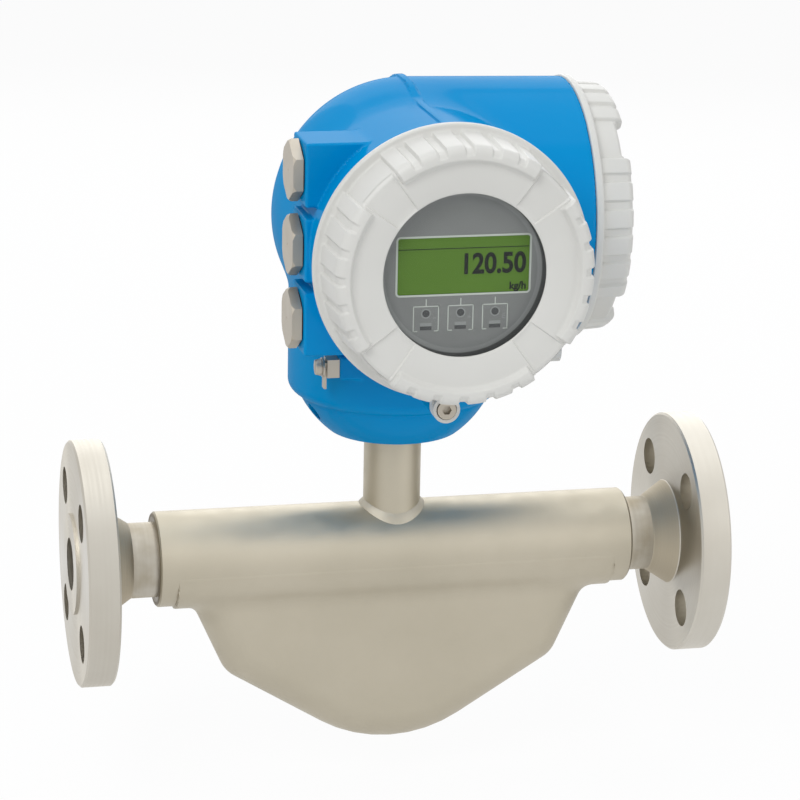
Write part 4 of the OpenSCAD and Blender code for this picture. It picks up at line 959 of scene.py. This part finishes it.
def words(name, text, height, x, y, weight, squeeze):
    """Lettering on the panel that ends at x, with its capitals `height` mm tall."""
    curve = bpy.data.curves.new(name, "FONT")
    curve.body = text
    curve.align_x = "RIGHT"
    curve.offset = weight
    curve.resolution_u = 6
    holder = bpy.data.objects.new(name, curve)
    bpy.context.scene.collection.objects.link(holder)
    bpy.context.view_layer.update()
    mesh = bpy.data.meshes.new_from_object(holder.evaluated_get(bpy.context.evaluated_depsgraph_get()))
    bpy.data.objects.remove(holder)
    co = np.empty(len(mesh.vertices) * 3, np.float32)
    mesh.vertices.foreach_get("co", co)
    co = co.reshape(-1, 3).astype(float)
    scale = height / CAPITAL
    co[:, 0] = co[:, 0] * scale * squeeze + x
    co[:, 1] = co[:, 1] * scale + y
    co[:, 2] = LCD_FRONT + 0.06
    mesh.vertices.foreach_set("co", in_metres(co, AT_DISPLAY).ravel())
    obj = bpy.data.objects.new(name, mesh)
    bpy.context.scene.collection.objects.link(obj)
    finish_piece(obj, "display_body", "lcd_ink", INK)


outline("panel_outline", 1.2, 0.9, FACE_Z, 0.06, PRINT, "print_grey")
bars("panel_header_line", [(LEFT + 0.3, TOP - 5.5, RIGHT - 0.3, TOP - 5.1)], LCD_FRONT, 0.04, INK, "lcd_ink")
words("panel_reading", "120.50", 9.6, RIGHT - 1.5, TOP - 17.2, 0.030, 0.86)
words("panel_unit", "kg/h", 3.5, RIGHT - 1.2, TOP - 25.3, 0.035, 0.98)

KEY_PITCH, KEY_W, KEY_H, LINE = 16.3, 12.2, 12.1, 0.45
KEY_TOP = LCD_Y - 18.6
KEY_BOTTOM = KEY_TOP - KEY_H
FOOT, STALK, STRIP_HALF = 2.2, 3.2, 2.7        # the frame's feet, the line above a key, its sensor windows
SIGN_LEFT, SIGN_RIGHT = 3.3, 4.9               # from a key's middle
frames, lit, dark, signs = [], [], [], []
for i in ROWS:
    x = i * KEY_PITCH
    x0, x1 = x - KEY_W / 2, x + KEY_W / 2
    frames += [(x0, KEY_TOP - LINE, x1, KEY_TOP), (x0, KEY_BOTTOM, x0 + LINE, KEY_TOP),
               (x1 - LINE, KEY_BOTTOM, x1, KEY_TOP), (x0, KEY_BOTTOM, x0 + FOOT, KEY_BOTTOM + LINE),
               (x1 - FOOT, KEY_BOTTOM, x1, KEY_BOTTOM + LINE),
               (x - LINE / 2, KEY_TOP, x + LINE / 2, KEY_TOP + STALK)]
    lit.append((x - STRIP_HALF, KEY_BOTTOM + 2.5, x + STRIP_HALF, KEY_BOTTOM + 4.1))
    dark.append((x - STRIP_HALF, KEY_BOTTOM + 0.7, x + STRIP_HALF, KEY_BOTTOM + 2.5))
    signs.append((x + SIGN_LEFT, KEY_TOP - 6.0, x + SIGN_RIGHT, KEY_TOP - 5.6))
# each key has a minus: an upright makes the middle one a plus, and three strokes make the right one an E
ENTER_LEFT, ENTER_RIGHT = KEY_PITCH + SIGN_LEFT, KEY_PITCH + SIGN_RIGHT
signs += [(3.9, KEY_TOP - 6.6, 4.3, KEY_TOP - 5.0),
          (ENTER_LEFT, KEY_TOP - 7.0, ENTER_LEFT + 0.4, KEY_TOP - 4.6),
          (ENTER_LEFT, KEY_TOP - 5.0, ENTER_RIGHT, KEY_TOP - 4.6),
          (ENTER_LEFT, KEY_TOP - 7.0, ENTER_RIGHT, KEY_TOP - 6.6)]
bars("key_frames", frames, FACE_Z, 0.05, PRINT, "print_grey")
bars("key_signs", signs, FACE_Z, 0.05, FAINT, "print_grey")
bars("key_lit_windows", lit, FACE_Z, 0.05, FAINT, "print_grey")
bars("key_dark_windows", dark, FACE_Z, 0.05, SMOKE, "module_black")

EYES = [(i * KEY_PITCH, KEY_TOP - 3.6) for i in ROWS]
rings("key_eye_rims", EYES, 1.75, 2.35, FACE_Z, 0.06, FAINT, "print_grey")
rings("key_eyes", EYES, 0.02, 1.7, FACE_Z, 0.05, SMOKE, "module_black")


# ---------------------------------------------------------------- floor, light and camera

def pale_floor(level, glow):
    """Pale floor that shows nearly white and keeps a hint of the object's shadow."""
    m, t, b = node_tree("floor_white")
    tone, darker = (level,) * 3, (level * 0.99,) * 3
    feed(t, b.inputs["Base Color"], cloudy(t, object_coords(t), 2, 2, tone, darker))
    b.inputs["Roughness"].default_value = 0.9
    white = add(t, "ShaderNodeEmission")
    feed(t, white.inputs["Color"], (1, 1, 1))
    white.inputs["Strength"].default_value = 1.0
    mixed_shaders(t, maths(t, "MULTIPLY", sees_white(t), glow), b, white, "Material Output")
    return m


def lamp(name, place, size, power, colour=(1, 1, 1)):
    """An area lamp that faces the meter."""
    light = bpy.data.lights.new(name, "AREA")
    light.shape = "RECTANGLE"
    light.size, light.size_y = size
    light.energy = power
    light.color = colour
    o = bpy.data.objects.new(name, light)
    o.location = place
    o.rotation_euler = (Vector((MID_X * MM, 0, 0.06)) - Vector(place)).to_track_quat("-Z", "Y").to_euler()
    bpy.context.scene.collection.objects.link(o)


def sky(t, colour, strength):
    n = add(t, "ShaderNodeBackground")
    feed(t, n.inputs["Color"], colour)
    n.inputs["Strength"].default_value = strength
    return n


bpy.ops.mesh.primitive_plane_add(size=1, location=(0, 0, shell_low[2] * MM - 0.02))
floor = bpy.context.object
floor.name = "floor"
floor.scale = (30, 30, 1)
floor.data.materials.append(pale_floor(0.86, 0.93))

lamp("key", (-0.9, -1.3, 1.6), (1.2, 1.2), 22)
lamp("fill", (1.5, -1.4, 0.5), (1.2, 1.6), 7)
lamp("top", (0.2, 0.3, 1.8), (2.4, 2.0), 13, (0.95, 0.97, 1.0))
lamp("back", (0.6, 1.6, 0.8), (1.6, 1.2), 8)

world = bpy.data.worlds.new("studio")
bpy.context.scene.world = world
world.use_nodes = True
studio = world.node_tree
studio.nodes.remove(studio.nodes["Background"])
mixed_shaders(studio, sees_white(studio), sky(studio, (0.95, 0.97, 1.0), 0.45), sky(studio, (1, 1, 1), 1.0),
              "World Output")

lens = bpy.data.cameras.new("camera")
lens.sensor_width = 36
lens.lens = 140.6
camera = bpy.data.objects.new("camera", lens)
camera.matrix_world = Matrix((                 # its right, up and back directions and its place, as columns
    (0.97470, 0.04413, -0.21912, -0.1783),
    (-0.22270, 0.27549, -0.93515, -1.4778),
    (0.01910, 0.96029, 0.27835, 0.5177),
    (0, 0, 0, 1)))
bpy.context.scene.collection.objects.link(camera)
bpy.context.scene.camera = camera
bpy.context.scene.view_settings.view_transform = "Standard"
